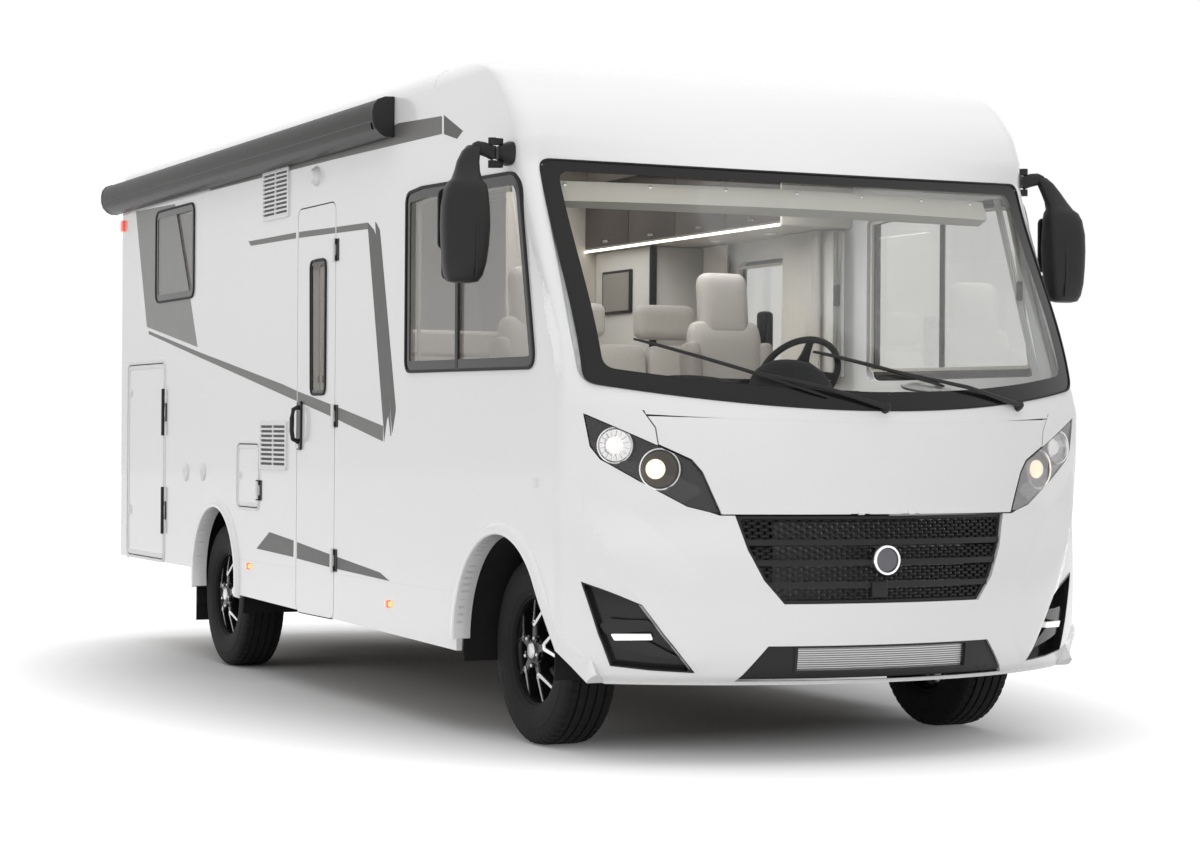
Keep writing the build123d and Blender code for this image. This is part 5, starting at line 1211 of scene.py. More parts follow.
def spoke_bar(bm, p0, p1, w0, w1, d0, d1, lift0, lift1):
    """Tapered bar of the wheel's face, in (out, across, up) about the hub, its front narrower than its back."""
    a, b = Vector(p0), Vector(p1)
    t = (b - a).normalized()
    n = Vector((-t.y, t.x))
    rings = []
    for q, w, d, lift in ((a, w0, d0, lift0), (b, w1, d1, lift1)):
        row = []
        for sw, out in ((-1.0, -d), (-0.92, -0.004), (-0.62, 0.0), (0.62, 0.0), (0.92, -0.004), (1.0, -d)):
            c = q + n * (sw * w / 2)
            row.append(bm.verts.new((lift + out, c.x, c.y)))
        rings.append(row)
    front = []
    for i in range(5):
        f = bm.faces.new((rings[0][i], rings[0][i + 1], rings[1][i + 1], rings[1][i]))
        if i == 2:
            front.append(f)
    bm.faces.new((rings[0][5], rings[0][0], rings[1][0], rings[1][5]))
    bm.faces.new(rings[0])
    bm.faces.new(rings[1][::-1])
    return front


def rim_mesh(name, x0, y0, side, body, turn=12.0):
    """Black alloy of five V spokes, their front edges and the lip turned bright."""
    bm = bmesh.new()
    barrel = [(0.07, 0.2185), (0.0735, 0.2205), (0.077, 0.2185), (0.0765, 0.212), (0.07, 0.207), (0.05, 0.202),
        (0.02, 0.193),
        (-0.06, 0.19), (-0.085, 0.201), (-0.088, 0.213), (-0.092, 0.219), (-0.096, 0.22), (-0.096, 0.217),
        (-0.09, 0.208),
        (-0.07, 0.199), (0.02, 0.2), (0.06, 0.206), (0.066, 0.212)]
    lathe_bm(bm, barrel, (0, 0, 0), "x", 120)
    for f in bm.faces:
        us = [v.co.x for v in f.verts]
        rs = [math.hypot(v.co.y, v.co.z) for v in f.verts]
        f.material_index = 1 if min(us) > 0.0695 and min(rs) > 0.2115 else 0
    bright = []
    for k in range(5):
        mid = math.radians(turn + 72 * k)
        for s in (-1, 1):
            a_in, a_out = mid + s * math.radians(4.2), mid + s * math.radians(17.0)
            start = (0.108 * math.cos(a_in), 0.108 * math.sin(a_in))
            end = (0.2095 * math.cos(a_out), 0.2095 * math.sin(a_out))
            bright += spoke_bar(bm, start, end, 0.026, 0.019, 0.048, 0.03, 0.101, 0.0745)
        root = (0.048 * math.cos(mid), 0.048 * math.sin(mid))
        knee = (0.116 * math.cos(mid), 0.116 * math.sin(mid))
        spoke_bar(bm, root, knee, 0.052, 0.034, 0.045, 0.045, 0.0965, 0.0985)
        knee0 = (0.098 * math.cos(mid), 0.098 * math.sin(mid))
        knee1 = (0.122 * math.cos(mid), 0.122 * math.sin(mid))
        bright += spoke_bar(bm, knee0, knee1, 0.034, 0.036, 0.03, 0.03, 0.1005, 0.0985)
    for f in bright:
        f.material_index = 1
    hub = [(0.03, 0.0005), (0.03, 0.072), (0.088, 0.07), (0.096, 0.06), (0.098, 0.05), (0.096, 0.044), (0.1, 0.036),
        (0.1, 0.0005)]
    lathe_bm(bm, hub, (0, 0, 0), "x", 48, False)
    bolts = [(0, 0.059 * math.cos(a),
            0.059 * math.sin(a)) for a in [math.radians(turn + 36 + 72 * k) for k in range(5)]]
    for bolt in bolts:
        lathe_bm(bm, [(0.074, 0.0128), (0.095, 0.012), (0.103, 0.0118), (0.106, 0.0085), (0.106, 0.0005)], bolt, "x",
            6, False)
    for v in bm.verts:
        v.co = Vector((x0 + side * v.co.x, y0 - v.co.y, HUB_Z + v.co.z))
    bmesh.ops.remove_doubles(bm, verts=bm.verts[:], dist=1e-6)
    bmesh.ops.recalc_face_normals(bm, faces=bm.faces[:])
    o = from_bm(name, bm, [M["rim_black"], M["rim_cut"]], body, 30)
    soften(o, 0.0012, 2, 45)
    cap = lathe(f"{name}_cap", [(0.098, 0.0005), (0.098, 0.034), (0.106, 0.033), (0.111, 0.028), (0.113, 0.012),
            (0.1135, 0.0005)], (0, 0, 0),
        "x", M["chrome_dull"], body, 48)
    nuts = bmesh.new()
    for bolt in bolts:
        lathe_bm(nuts, [(0.1, 0.0086), (0.1085, 0.0084), (0.1115, 0.006), (0.1115, 0.0005)], bolt, "x", 6, False)
    nut = from_bm(f"{name}_nuts", nuts, M["chrome_dull"], body, 30)
    for p in (cap, nut):
        set_on(p, side, x0, y0, HUB_Z)
    return o


def brake(name, x0, y0, side, body, hat, turn=150):
    """Vented disc, its bell and a caliper over it."""
    disc = lathe(f"{name}_disc", [(-0.0115, 0.02), (-0.0115, 0.139), (-0.01, 0.1405), (-0.003, 0.1405),
            (-0.003, 0.134), (0.003, 0.134),
            (0.003, 0.1405), (0.01, 0.1405), (0.0115, 0.139), (0.0115, 0.08), (hat, 0.074), (hat, 0.02)],
        (0, 0, 0), "x", M["steel"], body, 96)
    bm = bmesh.new()
    a0, a1 = math.radians(turn - 24), math.radians(turn + 24)
    steps = 12
    rows = []
    for k in range(steps + 1):
        a = a0 + (a1 - a0) * k / steps
        e = 0.5 + 0.5 * math.cos(math.pi * (2 * k / steps - 1) ** 3)
        row = []
        for u, r in ((-0.034, 0.09), (-0.034, 0.15), (-0.018, 0.16), (0.018, 0.16), (0.036, 0.15), (0.04, 0.118),
                (0.036, 0.088), (0.016, 0.088),
                (0.016, 0.144), (-0.016, 0.144), (-0.016, 0.09)):
            rr = r if r < 0.13 else 0.13 + (r - 0.13) * (0.7 + 0.3 * e)
            row.append(bm.verts.new((u, rr * math.cos(a), rr * math.sin(a))))
        rows.append(row)
    m = len(rows[0])
    for k in range(steps):
        for i in range(m):
            bm.faces.new((rows[k][i], rows[k][(i + 1) % m], rows[k + 1][(i + 1) % m], rows[k + 1][i]))
    bm.faces.new(rows[0])
    bm.faces.new(rows[-1][::-1])
    bmesh.ops.recalc_face_normals(bm, faces=bm.faces[:])
    cal = from_bm(f"{name}_caliper", bm, M["caliper"], body, 30)
    soften(cal, 0.003, 2)
    for p in (disc, cal):
        p.data.transform(Matrix.Translation((x0, y0, HUB_Z)) @ Matrix.Scale(side, 4, (1, 0, 0)) @ Matrix.Scale(-1, 4,
                (0, 1, 0)))
        if side > 0:
            p.data.flip_normals()
    return cal


for end, y0, track in (("front", AXLE, 0.905), ("rear", AXLE + WHEELBASE, 0.985)):
    for side, word in SIDES:
        body = f"wheel_{end}_{word}"
        t = tyre_mesh(f"tyre_shape_{end}_{word}", side * track, y0, side, body)
        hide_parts(f"tyre_{end}_{word}")
        r = rim_mesh(f"rim_shape_{end}_{word}", side * track, y0, side, body)
        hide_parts(f"rim_{end}_{word}")
        hub_body = f"steer_{word}" if end == "front" else ROOT
        place, hat = (0.884, 0.049) if end == "front" else (0.895, 0.118)
        cal = brake(f"brake_{end}_{word}", side * place, y0, side, hub_body, hat)
        if end == "front":
            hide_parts(f"knuckle_{word}")
            kx = side * 0.84
            slab(f"upright_{word}", (kx - 0.025, y0 - 0.032, 0.271), (kx + 0.025, y0 + 0.032, 0.474), M["cast"],
                hub_body, 0.012, 3)
            ring_tube(f"stub_{word}", [(kx, y0, HUB_Z), (side * 0.872, y0, HUB_Z)], 0.042, M["cast"], hub_body,
                sides=32)
            ring_tube(f"steering_arm_{word}", [(kx, y0 + 0.02, 0.33), (kx - side * 0.02, y0 + 0.09, 0.325),
                    (kx - side * 0.03, y0 + 0.135, 0.32)],
                [0.018, 0.014, 0.012], M["cast"], hub_body, sides=14)


# ---- mirrors
def loft_rings(name, rings, mat, body=ROOT, slot=None, smooth=40, subdiv=0):
    """Skin through rings of points, all with the same count; its ends are filled."""
    bm = bmesh.new()
    rows = [[bm.verts.new(p) for p in ring] for ring in rings]
    n = len(rows[0])
    for a, b in zip(rows, rows[1:]):
        for i in range(n):
            bm.faces.new((a[i], a[(i + 1) % n], b[(i + 1) % n], b[i]))
    bm.faces.new(rows[0])
    bm.faces.new(rows[-1][::-1])
    bmesh.ops.recalc_face_normals(bm, faces=bm.faces[:])
    o = from_bm(name, bm, mat, body, smooth)
    if subdiv:
        m = o.modifiers.new("fine", "SUBSURF")
        m.levels = m.render_levels = subdiv
    return o


def oval(cx, cy, z, rx, ry, n, power):
    """Rounded-square ring in plan."""
    out = []
    for a in turns(n):
        c, s = math.cos(a), math.sin(a)
        x = abs(c) ** (2 / power) * math.copysign(1, c) * rx
        y = abs(s) ** (2 / power) * math.copysign(1, s) * ry
        out.append((cx + x, cy + y, z))
    return out


for side, word in SIDES:
    body = f"mirror_arm_{word}"
    my = aft(-0.18)
    # z, middle |x|, half width, half depth, y shift
    shape = [(1.8, 1.385, 0.036, 0.022, 0.01), (1.806, 1.385, 0.062, 0.036, 0.008),
        (1.83, 1.383, 0.076, 0.046, 0.004),
        (1.88, 1.38, 0.086, 0.056, 0.0), (1.95, 1.378, 0.0925, 0.062, 0.0), (2.02, 1.377, 0.0955, 0.064, 0.0),
        (2.09, 1.377, 0.0935, 0.062, 0.0), (2.15, 1.374, 0.086, 0.056, 0.004), (2.18, 1.37, 0.076, 0.048, 0.008),
        (2.196, 1.366, 0.06, 0.038, 0.014), (2.23, 1.358, 0.05, 0.03, 0.03), (2.27, 1.346, 0.044, 0.026, 0.05),
        (2.31, 1.328, 0.036, 0.024, 0.066), (2.334, 1.312, 0.026, 0.018, 0.076), (2.338, 1.306, 0.01, 0.008, 0.078)]
    rings = [oval(side * cx, my + sh, z, rx, ry, 28, 3.0) for z, cx, rx, ry, sh in shape]
    head = loft_rings(f"mirror_head_{word}", rings, M["satin_black"], body, "black_plastic", smooth=60)
    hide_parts(f"mirror_{word}")
    # crease on the front of the shell
    ring_tube(f"mirror_crease_{word}", [(side * 1.352, my - 0.06 + 0.012 * t * t,
                1.985 + 0.165 * t) for t in np.linspace(-1, 1, 12).tolist()],
        [0.0035 + 0.004 * (1 - abs(t)) for t in np.linspace(-1, 1, 12)], M["satin_black"], body, sides=10)
    for k, (z0, h, w) in enumerate(((2.045, 0.108, 0.08), (1.868, 0.048, 0.066))):
        o = side_sheet(f"mirror_glass_{word}_{k}", 1, rect(-w, w, -h, h, 0.022), 0.0, 0.004, M["chrome"], body)
        o.data.transform(Matrix.Translation((side * 1.378, my + (0.06 if k == 0 else 0.0515), z0))
            @ Matrix.Rotation(math.radians(90), 4, "Z"))
        b = side_sheet(f"mirror_rim_{word}_{k}", 1, rect(-w - 0.008, w + 0.008, -h - 0.008, h + 0.008, 0.028), -0.004,
            0.007, M["satin_black"],
            body, holes=[rect(-w + 0.002, w - 0.002, -h + 0.002, h - 0.002, 0.02)])
        b.data.transform(Matrix.Translation((side * 1.378, my + (0.058 if k == 0 else 0.0495), z0))
            @ Matrix.Rotation(math.radians(90), 4, "Z"))
    # arm from the pivot to the head
    arm = [(side * 1.232, aft(-0.096), 2.312, 0.03, 0.017), (side * 1.262, aft(-0.1), 2.322, 0.029, 0.018),
        (side * 1.296, aft(-0.104), 2.328, 0.026, 0.018),
        (side * 1.318, aft(-0.11), 2.32, 0.024, 0.018), (side * 1.34, aft(-0.12), 2.29, 0.022, 0.017)]
    rings = []
    for x, y, z, rz, ry in arm:
        rings.append([(x, y + ry * math.sin(a), z + rz * math.cos(a)) for a in turns(16)])
    loft_rings(f"mirror_arm_shape_{word}", rings, M["satin_black"], body, "black_plastic")
    ring_tube(f"mirror_barrel_{word}", [(side * 1.232, aft(-0.096), z) for z in (2.288, 2.29, 2.336, 2.338)],
        [0.015, 0.0165, 0.0165, 0.015],
        M["satin_black"], body, sides=28)
    # foot on the body
    foot = [(HALF - 0.002, 0.062, 0.046, 0.0), (HALF + 0.008, 0.062, 0.046, 0.0), (HALF + 0.02, 0.054, 0.04, 0.0),
        (HALF + 0.04, 0.04, 0.03, 0.0),
        (HALF + 0.05, 0.03, 0.024, 0.0)]
    rings = []
    for x, ry, rz, dz in foot:
        row = oval(0, 0, 0, ry, rz, 28, 3.2)
        rings.append([(side * x, aft(-0.096) + a, 2.312 + b) for a, b, _ in row])
    f = loft_rings(f"mirror_foot_{word}", rings, M["satin_black"], ROOT, "black_plastic")
    if side < 0:
        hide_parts("mirror_brackets")
    for z in (2.268, 2.356):
        ring_tube(f"mirror_lug_{word}_{int(z * 1000)}", [(side * 1.232, aft(-0.096), z - 0.014),
                (side * 1.232, aft(-0.096), z + 0.014)], 0.016,
            M["satin_black"], ROOT, sides=28)
        a, b = span(side, 1.19, 1.232)
        slab(f"mirror_web_{word}_{int(z * 1000)}", (a, aft(-0.096) - 0.014, z - 0.013),
            (b, aft(-0.096) + 0.014, z + 0.013), M["satin_black"], bevel=0.004)


# ---- wipers
for k, (pivot, elbow, tip) in enumerate((((0.015, 1.33), (-0.536, 1.461), (-0.905, 1.578)),
            ((0.695, 1.345), (0.046, 1.47), (-0.252, 1.538)))):
    line = [pivot, ((pivot[0] * 0.55 + elbow[0] * 0.45), (pivot[1] * 0.55 + elbow[1] * 0.45) + 0.006), elbow]
    arm = on_skin(line, 0.0)
    nr = skin_normal(arm)
    arm = arm + nr * np.array([[0.02], [0.028], [0.018]])
    a = ring_tube(f"wiper_arm_{k}", [tuple(p) for p in arm], [0.011, 0.008, 0.0055], M["satin_black"], sides=10)
    if k == 0:
        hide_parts("wipers")
    start = (elbow[0] + (elbow[0] - tip[0]) * 0.85, elbow[1] + (elbow[1] - tip[1]) * 0.8)
    blade = [(start[0] + (tip[0] - start[0]) * t, start[1] + (tip[1] - start[1]) * t) for t in np.linspace(0, 1, 14)]
    low = on_skin(blade, 0.0)
    nb = skin_normal(low)
    high = [0.01 + 0.006 * math.sin(math.pi * t) for t in np.linspace(0, 1, 14)]
    ring_tube(f"wiper_blade_{k}", [tuple(p + q * h) for p, q, h in zip(low, nb, high)],
        [0.003] + [0.0065] * 12 + [0.003], M["satin_black"], sides=6)
    ring_tube(f"wiper_rubber_{k}", [tuple(p + q * 0.0035) for p, q in zip(low, nb)], 0.0026, M["rubber"], sides=5)
    c = on_skin([pivot], 0.0)[0]
    cap = lathe(f"wiper_cap_{k}", [(0.004, 0.0005), (0.004, 0.02), (-0.016, 0.019), (-0.028, 0.014),
            (-0.032, 0.0005)], (0, 0, 0), "y", M["satin_black"],
        ROOT, 24)
    placed(cap, tuple(c), (0, -1, 0.35))


# ---- wheel arches
def sweep_section(name, path, section, side, mat):
    """Sweeps a section of (away from the opening, out from the skin) along a path of (y, z, normal y, normal z)."""
    bm = bmesh.new()
    rows = []
    for y, z, ny, nz in path:
        row = []
        for m, out in section:
            py, pz = y + ny * m, z + nz * m
            row.append(bm.verts.new((side * (side_x(py, pz) + out), py, pz)))
        rows.append(row)
    n = len(section)
    for a, b in zip(rows, rows[1:]):
        for i in range(n):
            bm.faces.new((a[i], a[(i + 1) % n], b[(i + 1) % n], b[i]))
    bm.faces.new(rows[0])
    bm.faces.new(rows[-1][::-1])
    bmesh.ops.recalc_face_normals(bm, faces=bm.faces[:])
    return from_bm(name, bm, mat, ROOT, 50)


def arch_path(cy, cz, r, foot_rear, toe=None, foot_front=None):
    """Wheel opening from its rear foot over the top: an arc, then the straights of its toe if it has one."""
    a0 = math.asin((foot_rear - cz) / r)
    a1 = math.pi - math.asin(((toe[0][1] if toe else foot_front) - cz) / r)
    pts = []
    for k in range(33):
        a = a0 + (a1 - a0) * k / 32
        pts.append((cy + r * math.cos(a), cz + r * math.sin(a), math.cos(a), math.sin(a)))
    if toe:
        for i in range(1, len(toe)):
            dy, dz = toe[i][0] - toe[i - 1][0], toe[i][1] - toe[i - 1][1]
            L = math.hypot(dy, dz)
            ny, nz = dz / L, -dy / L
            for t in ((0.35, 1.0) if i < len(toe) - 1 else (0.5, 1.0)):
                pts.append((toe[i - 1][0] + dy * t, toe[i - 1][1] + dz * t, ny, nz))
    out = []
    for i, p in enumerate(pts):
        if 30 < i < len(pts) - 1:
            n = Vector((pts[i - 1][2] + p[2] + pts[i + 1][2], pts[i - 1][3] + p[3] + pts[i + 1][3])).normalized()
            p = (p[0], p[1], n.x, n.y)
        out.append(p)
    return out


SECTION = [(0.0, -0.06), (0.0, 0.012), (0.003, 0.0165), (0.009, 0.0185), (0.034, 0.0155), (0.047, 0.0095),
    (0.054, 0.002), (0.056, -0.004),
    (0.006, -0.06)]
for side, word in SIDES:
    toe = [(aft(-0.36), 0.68), (aft(-0.57), 0.42), (aft(-0.655), 0.304)]
    f = sweep_section(f"arch_front_{word}", arch_path(AXLE - 0.03, 0.385, 0.445, 0.392, toe), SECTION, side,
        M["white"])
    sweep_section(f"arch_rear_{word}", arch_path(AXLE + 3.755, 0.465, 0.365, 0.4, None, 0.392), SECTION, side,
        M["white"])
    if side < 0:
        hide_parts("arch_flares")


# ---- finishes of the plain CAD pieces
FINISH = {
    "side_white": ("side_walls", "skirts", "entry_door", "garage_door_right", "garage_door_left", "service_hatch",
        "roof", "wall_rear",
        "rear_bumper"),
    "trim_white": ("roof_hatch_frames", "roof_hatch_front", "roof_hatch_rear"),
    "acrylic": ("window_panes", "entry_door_window"),
    "lamp_red": ("outer_lamps",),
    "satin_black": ("hinge_leaves",),
    "chassis": ("axles", "chassis_frame"),
    "cast": ("engine_block",),
    "liner": ("wheel_liners",),
    "floor": ("floor", "entry_step", "garage_floor"),
    "dash": ("firewall", "dashboard"),
    "cream": ("bulkhead",),
    "cloth": ("rear_bed",),
}
for key, names in FINISH.items():
    for name in names:
        nodes[name].data.materials.clear()
        nodes[name].data.materials.append(M[key])


# ---- inside
def cushion(name, centre, size, radius, crown, mat, body=ROOT, tilt=0.0, axis="z", cuts=10):
    """Upholstered block: rounded edges and a crowned face; tilt leans it back about X, in degrees."""
    half = [s / 2 for s in size]
    r = min([radius] + [h * 0.98 for h in half])
    bm = bmesh.new()
    bmesh.ops.create_cube(bm, size=2.0)
    bmesh.ops.subdivide_edges(bm, edges=bm.edges[:], cuts=cuts, use_grid_fill=True)
    k = {"x": 0, "y": 1, "z": 2}[axis]
    for v in bm.verts:
        p = [v.co[i] * half[i] for i in range(3)]
        inner = [max(-half[i] + r, min(half[i] - r, p[i])) for i in range(3)]
        d = Vector([p[i] - inner[i] for i in range(3)])
        if d.length > 1e-9:
            d.normalize()
        q = [inner[i] + r * d[i] for i in range(3)]
        bulge = 1.0
        for i in range(3):
            if i != k:
                bulge *= max(0.0, 1 - (q[i] / half[i]) ** 2) ** 0.6
        q[k] += crown * bulge * (1 if q[k] > 0 else -0.3)
        v.co = Vector(q)
    bmesh.ops.recalc_face_normals(bm, faces=bm.faces[:])
    bm.transform(Matrix.Translation(centre) @ Matrix.Rotation(math.radians(tilt), 4, "X"))
    o = from_bm(name, bm, mat, body, 60)
    m = o.modifiers.new("fine", "SUBSURF")
    m.levels = m.render_levels = 1
    return o


def inside_box(name, low, high, mat, bevel=0.004):
    return slab(name, low, high, mat, ROOT, bevel, 2)


for side, word in SIDES:
    x = side * 0.47
    y0, y1 = aft(0.7), aft(1.21)
    cushion(f"cab_seat_{word}", (x, (y0 + y1) / 2, 0.985), (0.5, 0.51, 0.15), 0.06, 0.02, M["leather"])
    for s in (-1, 1):
        cushion(f"cab_seat_bolster_{word}_{s}", (x + s * 0.225, (y0 + y1) / 2 - 0.02, 1.01), (0.075, 0.46, 0.13),
            0.036, 0.006, M["leather_dark"])
        cushion(f"cab_back_bolster_{word}_{s}", (x + s * 0.188, y1 - 0.085, 1.36), (0.08, 0.13, 0.58), 0.038, 0.006,
            M["leather_dark"], tilt=-9, axis="y")
    cushion(f"cab_back_{word}", (x, y1 - 0.06, 1.385), (0.37, 0.12, 0.73), 0.055, -0.018, M["leather"], tilt=-9,
        axis="y")
    cushion(f"cab_head_{word}", (x, y1 + 0.0, 1.81), (0.25, 0.105, 0.32), 0.05, -0.012, M["leather"], tilt=-7,
        axis="y")
    inside_box(f"cab_seat_base_{word}", (x - 0.19, y0 + 0.06, FLOOR), (x + 0.19, y1 - 0.06, 0.915), M["dash"], 0.03)
    ring_tube(f"arm_rest_{word}", [(x - side * 0.255, y1 - 0.08, 1.245), (x - side * 0.258, y1 - 0.2, 1.25),
            (x - side * 0.258, y1 - 0.36, 1.245)],
        [0.03, 0.034, 0.028], M["leather"], sides=16)
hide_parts("seats")
bx0, bx1 = 0.09, 1.105
by0, by1 = aft(1.76), aft(2.34)
inside_box("bench_base", (bx0 + 0.02, by0 + 0.03, FLOOR), (bx1 - 0.005, by1, 0.925), M["wood"], 0.004)
for i, (a, b) in enumerate(((bx0, 0.59), (0.6, bx1))):
    cushion(f"bench_seat_{i}", ((a + b) / 2, (by0 + by1) / 2 - 0.03, 0.995), (b - a, 0.54, 0.13), 0.045, 0.016,
        M["cloth"])
    cushion(f"bench_back_{i}", ((a + b) / 2, by1 - 0.085, 1.35), (b - a, 0.13, 0.64), 0.045, -0.014, M["cloth"],
        tilt=-5, axis="y")
for i, (x, w) in enumerate(((0.24, 0.27), (0.71, 0.33))):
    cushion(f"bench_head_{i}", (x, by1 - 0.055, 1.785), (w, 0.105, 0.175), 0.045, -0.008, M["cloth"], axis="y")

# steering wheel
WHEEL_C = Vector((0.48, aft(0.515), 1.486))
TILT = math.radians(35)
to_driver = Vector((0, math.cos(TILT), math.sin(TILT)))
place_wheel = Matrix.Translation(WHEEL_C) @ Vector((0, 0, 1)).rotation_difference(to_driver).to_matrix().to_4x4()
ring = [(0.188 * math.cos(a), 0.188 * math.sin(a), 0.0) for a in turns(72)]
rim = ring_tube("steering_rim", ring, 0.0145, M["dash"], "steering", True, 16)
hubp = lathe("steering_hub", [(-0.04, 0.0005), (-0.04, 0.05), (-0.008, 0.078), (0.01, 0.076), (0.019, 0.06),
        (0.023, 0.03), (0.024, 0.0005)],
    (0, 0, 0), "z", M["dash"], "steering", 40, 60)
spokes = bmesh.new()
for a in (0, 180, 270):
    c, s = math.cos(math.radians(a)), math.sin(math.radians(a))
    rows = []
    for r, w, h, lift in ((0.055, 0.03, 0.012, 0.006), (0.11, 0.02, 0.009, 0.002), (0.16, 0.016, 0.008, 0.0),
            (0.184, 0.02, 0.008, 0.0)):
        rows.append([spokes.verts.new((r * c - q * w * s, r * s + q * w * c, lift + e * h)) for q,
                e in ((-1, -1), (1, -1), (1, 1), (-1, 1))])
    for p, q in zip(rows, rows[1:]):
        for i in range(4):
            spokes.faces.new((p[i], p[(i + 1) % 4], q[(i + 1) % 4], q[i]))
    spokes.faces.new(rows[0])
    spokes.faces.new(rows[-1][::-1])
bmesh.ops.recalc_face_normals(spokes, faces=spokes.faces[:])
sp = from_bm("steering_spokes", spokes, M["dash"], "steering", 40)
soften(sp, 0.004, 3)
for o in (rim, hubp, sp):
    o.data.transform(place_wheel)
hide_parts("steering_wheel")

# lockers, kitchen, partitions and the blind's case
locker = inside_box("locker_left", (0.764, aft(1.172), 2.214), (1.124, aft(3.32), 2.636), M["cream"], 0.005)
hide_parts("furniture")
for name, low, high, key, bevel in (
        ("locker_end_left", (0.746, aft(1.148), 2.196), (1.124, aft(1.172), 2.56), "cream", 0.009),
        ("locker_foot_left", (0.758, aft(1.172), 2.198), (1.124, aft(3.32), 2.214), "cream", 0.003)):
    inside_box(name, low, high, M[key], bevel)
for i in range(4):
    a = 1.18 + i * 0.534
    inside_box(f"locker_door_left_{i}", (0.746, aft(a), 2.216), (0.764, aft(a + 0.526), 2.56), M["wood"], 0.003)
    inside_box(f"locker_latch_left_{i}", (0.738, aft(a + 0.235), 2.236), (0.746, aft(a + 0.29), 2.25),
        M["chrome_dull"], 0.003)
inside_box("locker_light_left", (0.744, aft(1.174), 2.196), (0.757, aft(3.318), 2.207), M["led"], 0.003)
for i, d in enumerate((3.12, 2.7, 2.16, 1.6)):
    lathe(f"spot_rim_{i}", [(0.0, 0.04), (-0.006, 0.038), (-0.008, 0.03), (0.0, 0.028)], (0.93, aft(d), 2.199), "z",
        M["chrome_dull"],
        segments=32)
    lathe(f"spot_lens_{i}", [(-0.003, 0.0005), (-0.004, 0.028), (0.0, 0.028), (0.0, 0.0005)], (0.93, aft(d), 2.199),
        "z", M["led"],
        segments=32)
inside_box("locker_right", (-1.124, aft(2.562), 2.214), (-0.776, aft(3.318), 2.636), M["cream"], 0.005)
for i in range(2):
    a = 2.566 + i * 0.377
    inside_box(f"locker_door_right_{i}", (-0.776, aft(a), 2.216), (-0.76, aft(a + 0.37), 2.6), M["wood"], 0.003)
for name, low, high, key, bevel in (
        ("kitchen_block", (-1.108, aft(2.545), FLOOR), (-0.575, aft(3.318), 1.462), "cream", 0.006),
        ("kitchen_top", (-1.109, aft(2.541), 1.462), (-0.561, aft(3.32), 1.499), "wood", 0.008)):
    inside_box(name, low, high, M[key], bevel)
for i in range(3):
    inside_box(f"kitchen_drawer_{i}", (-0.575, aft(2.56), 0.64 + i * 0.27), (-0.562, aft(3.3), 0.9 + i * 0.27),
        M["cream"], 0.004)
    inside_box(f"kitchen_pull_{i}", (-0.562, aft(2.85), 0.868 + i * 0.27), (-0.552, aft(3.01), 0.88 + i * 0.27),
        M["chrome_dull"], 0.003)
for name, low, high, key, bevel in (
        ("wardrobe_left", (0.815, aft(2.64), FLOOR), (1.117, aft(3.322), 2.196), "ceiling", 0.008),
        ("wardrobe_edge", (0.8, aft(2.622), FLOOR), (0.838, aft(2.642), 2.196), "satin_black", 0.006),
        ("wardrobe_mirror_rim", (0.8, aft(2.86), 1.86), (0.816, aft(3.21), 2.09), "satin_black", 0.006),
        ("wardrobe_mirror", (0.797, aft(2.88), 1.875), (0.806, aft(3.19), 2.075), "chrome_dull", 0.003)):
    inside_box(name, low, high, M[key], bevel)
for side, word in SIDES:
    a, b = span(side, 0.3, 1.117)
    inside_box(f"partition_{word}", (a, aft(3.325), FLOOR), (b, aft(3.355), 2.655), M["cream"], 0.006)
case_outline = poly_points([(-1.075, 2.137), (0.905, 2.137), (0.905, 2.215), (-1.075, 2.215)], 0.012, 4)
skin_patch("blind_case", case_outline, -0.036, 0.05, M["blind"], step=0.1)
for i, x in enumerate((-1.008, -0.68, -0.374, -0.064, 0.24, 0.547, 0.822)):
    p = on_skin([(x, 2.2)], -0.0345)[0]
    cap = lathe(f"blind_screw_{i}", [(0.003, 0.0005), (0.003, 0.008), (-0.001, 0.008), (-0.003, 0.005),
            (-0.003, 0.0005)], (0, 0, 0), "y", M["chrome"],
        segments=16)
    placed(cap, tuple(p), tuple(skin_normal(np.array([p]))[0]))
for k in range(3):
    ring_tube(f"blind_rail_{k}", [(1.03, aft(-0.205 + 0.016 * k), 2.225), (1.03, aft(-0.36 + 0.016 * k), 1.83),
            (1.03, aft(-0.515 + 0.016 * k), 1.44)],
        0.005, M["chrome_dull"], sides=8)
for name, low, high, key, bevel in (
        ("blind_handle", (1.01, aft(-0.395), 1.79), (1.026, aft(-0.365), 1.87), "satin_black", 0.005),
        ("post_left", (1.06, aft(1.215), 1.5), (1.12, aft(1.385), 2.196), "ceiling", 0.02)):
    inside_box(name, low, high, M[key], bevel)
for k in range(2):
    inside_box(f"post_rail_left_{k}", (1.052, aft(1.128 + k * 0.042), 1.5), (1.072, aft(1.16 + k * 0.042), 2.18),
        M["chrome_dull"], 0.004)
for name, low, high, key, bevel in (
        ("post_grip_left", (1.04, aft(1.14), 1.83), (1.054, aft(1.18), 1.93), "satin_black", 0.005),
        ("belt_reel_left", (0.67, aft(1.19), 1.56), (0.735, aft(1.26), 1.8), "satin_black", 0.02)):
    inside_box(name, low, high, M[key], bevel)
ring_tube("belt_left", [(0.7, aft(1.185), 1.78), (0.655, aft(1.13), 1.56), (0.64, aft(1.08), 1.25),
        (0.65, aft(1.06), 0.96)], 0.012,
    M["satin_black"], sides=8)


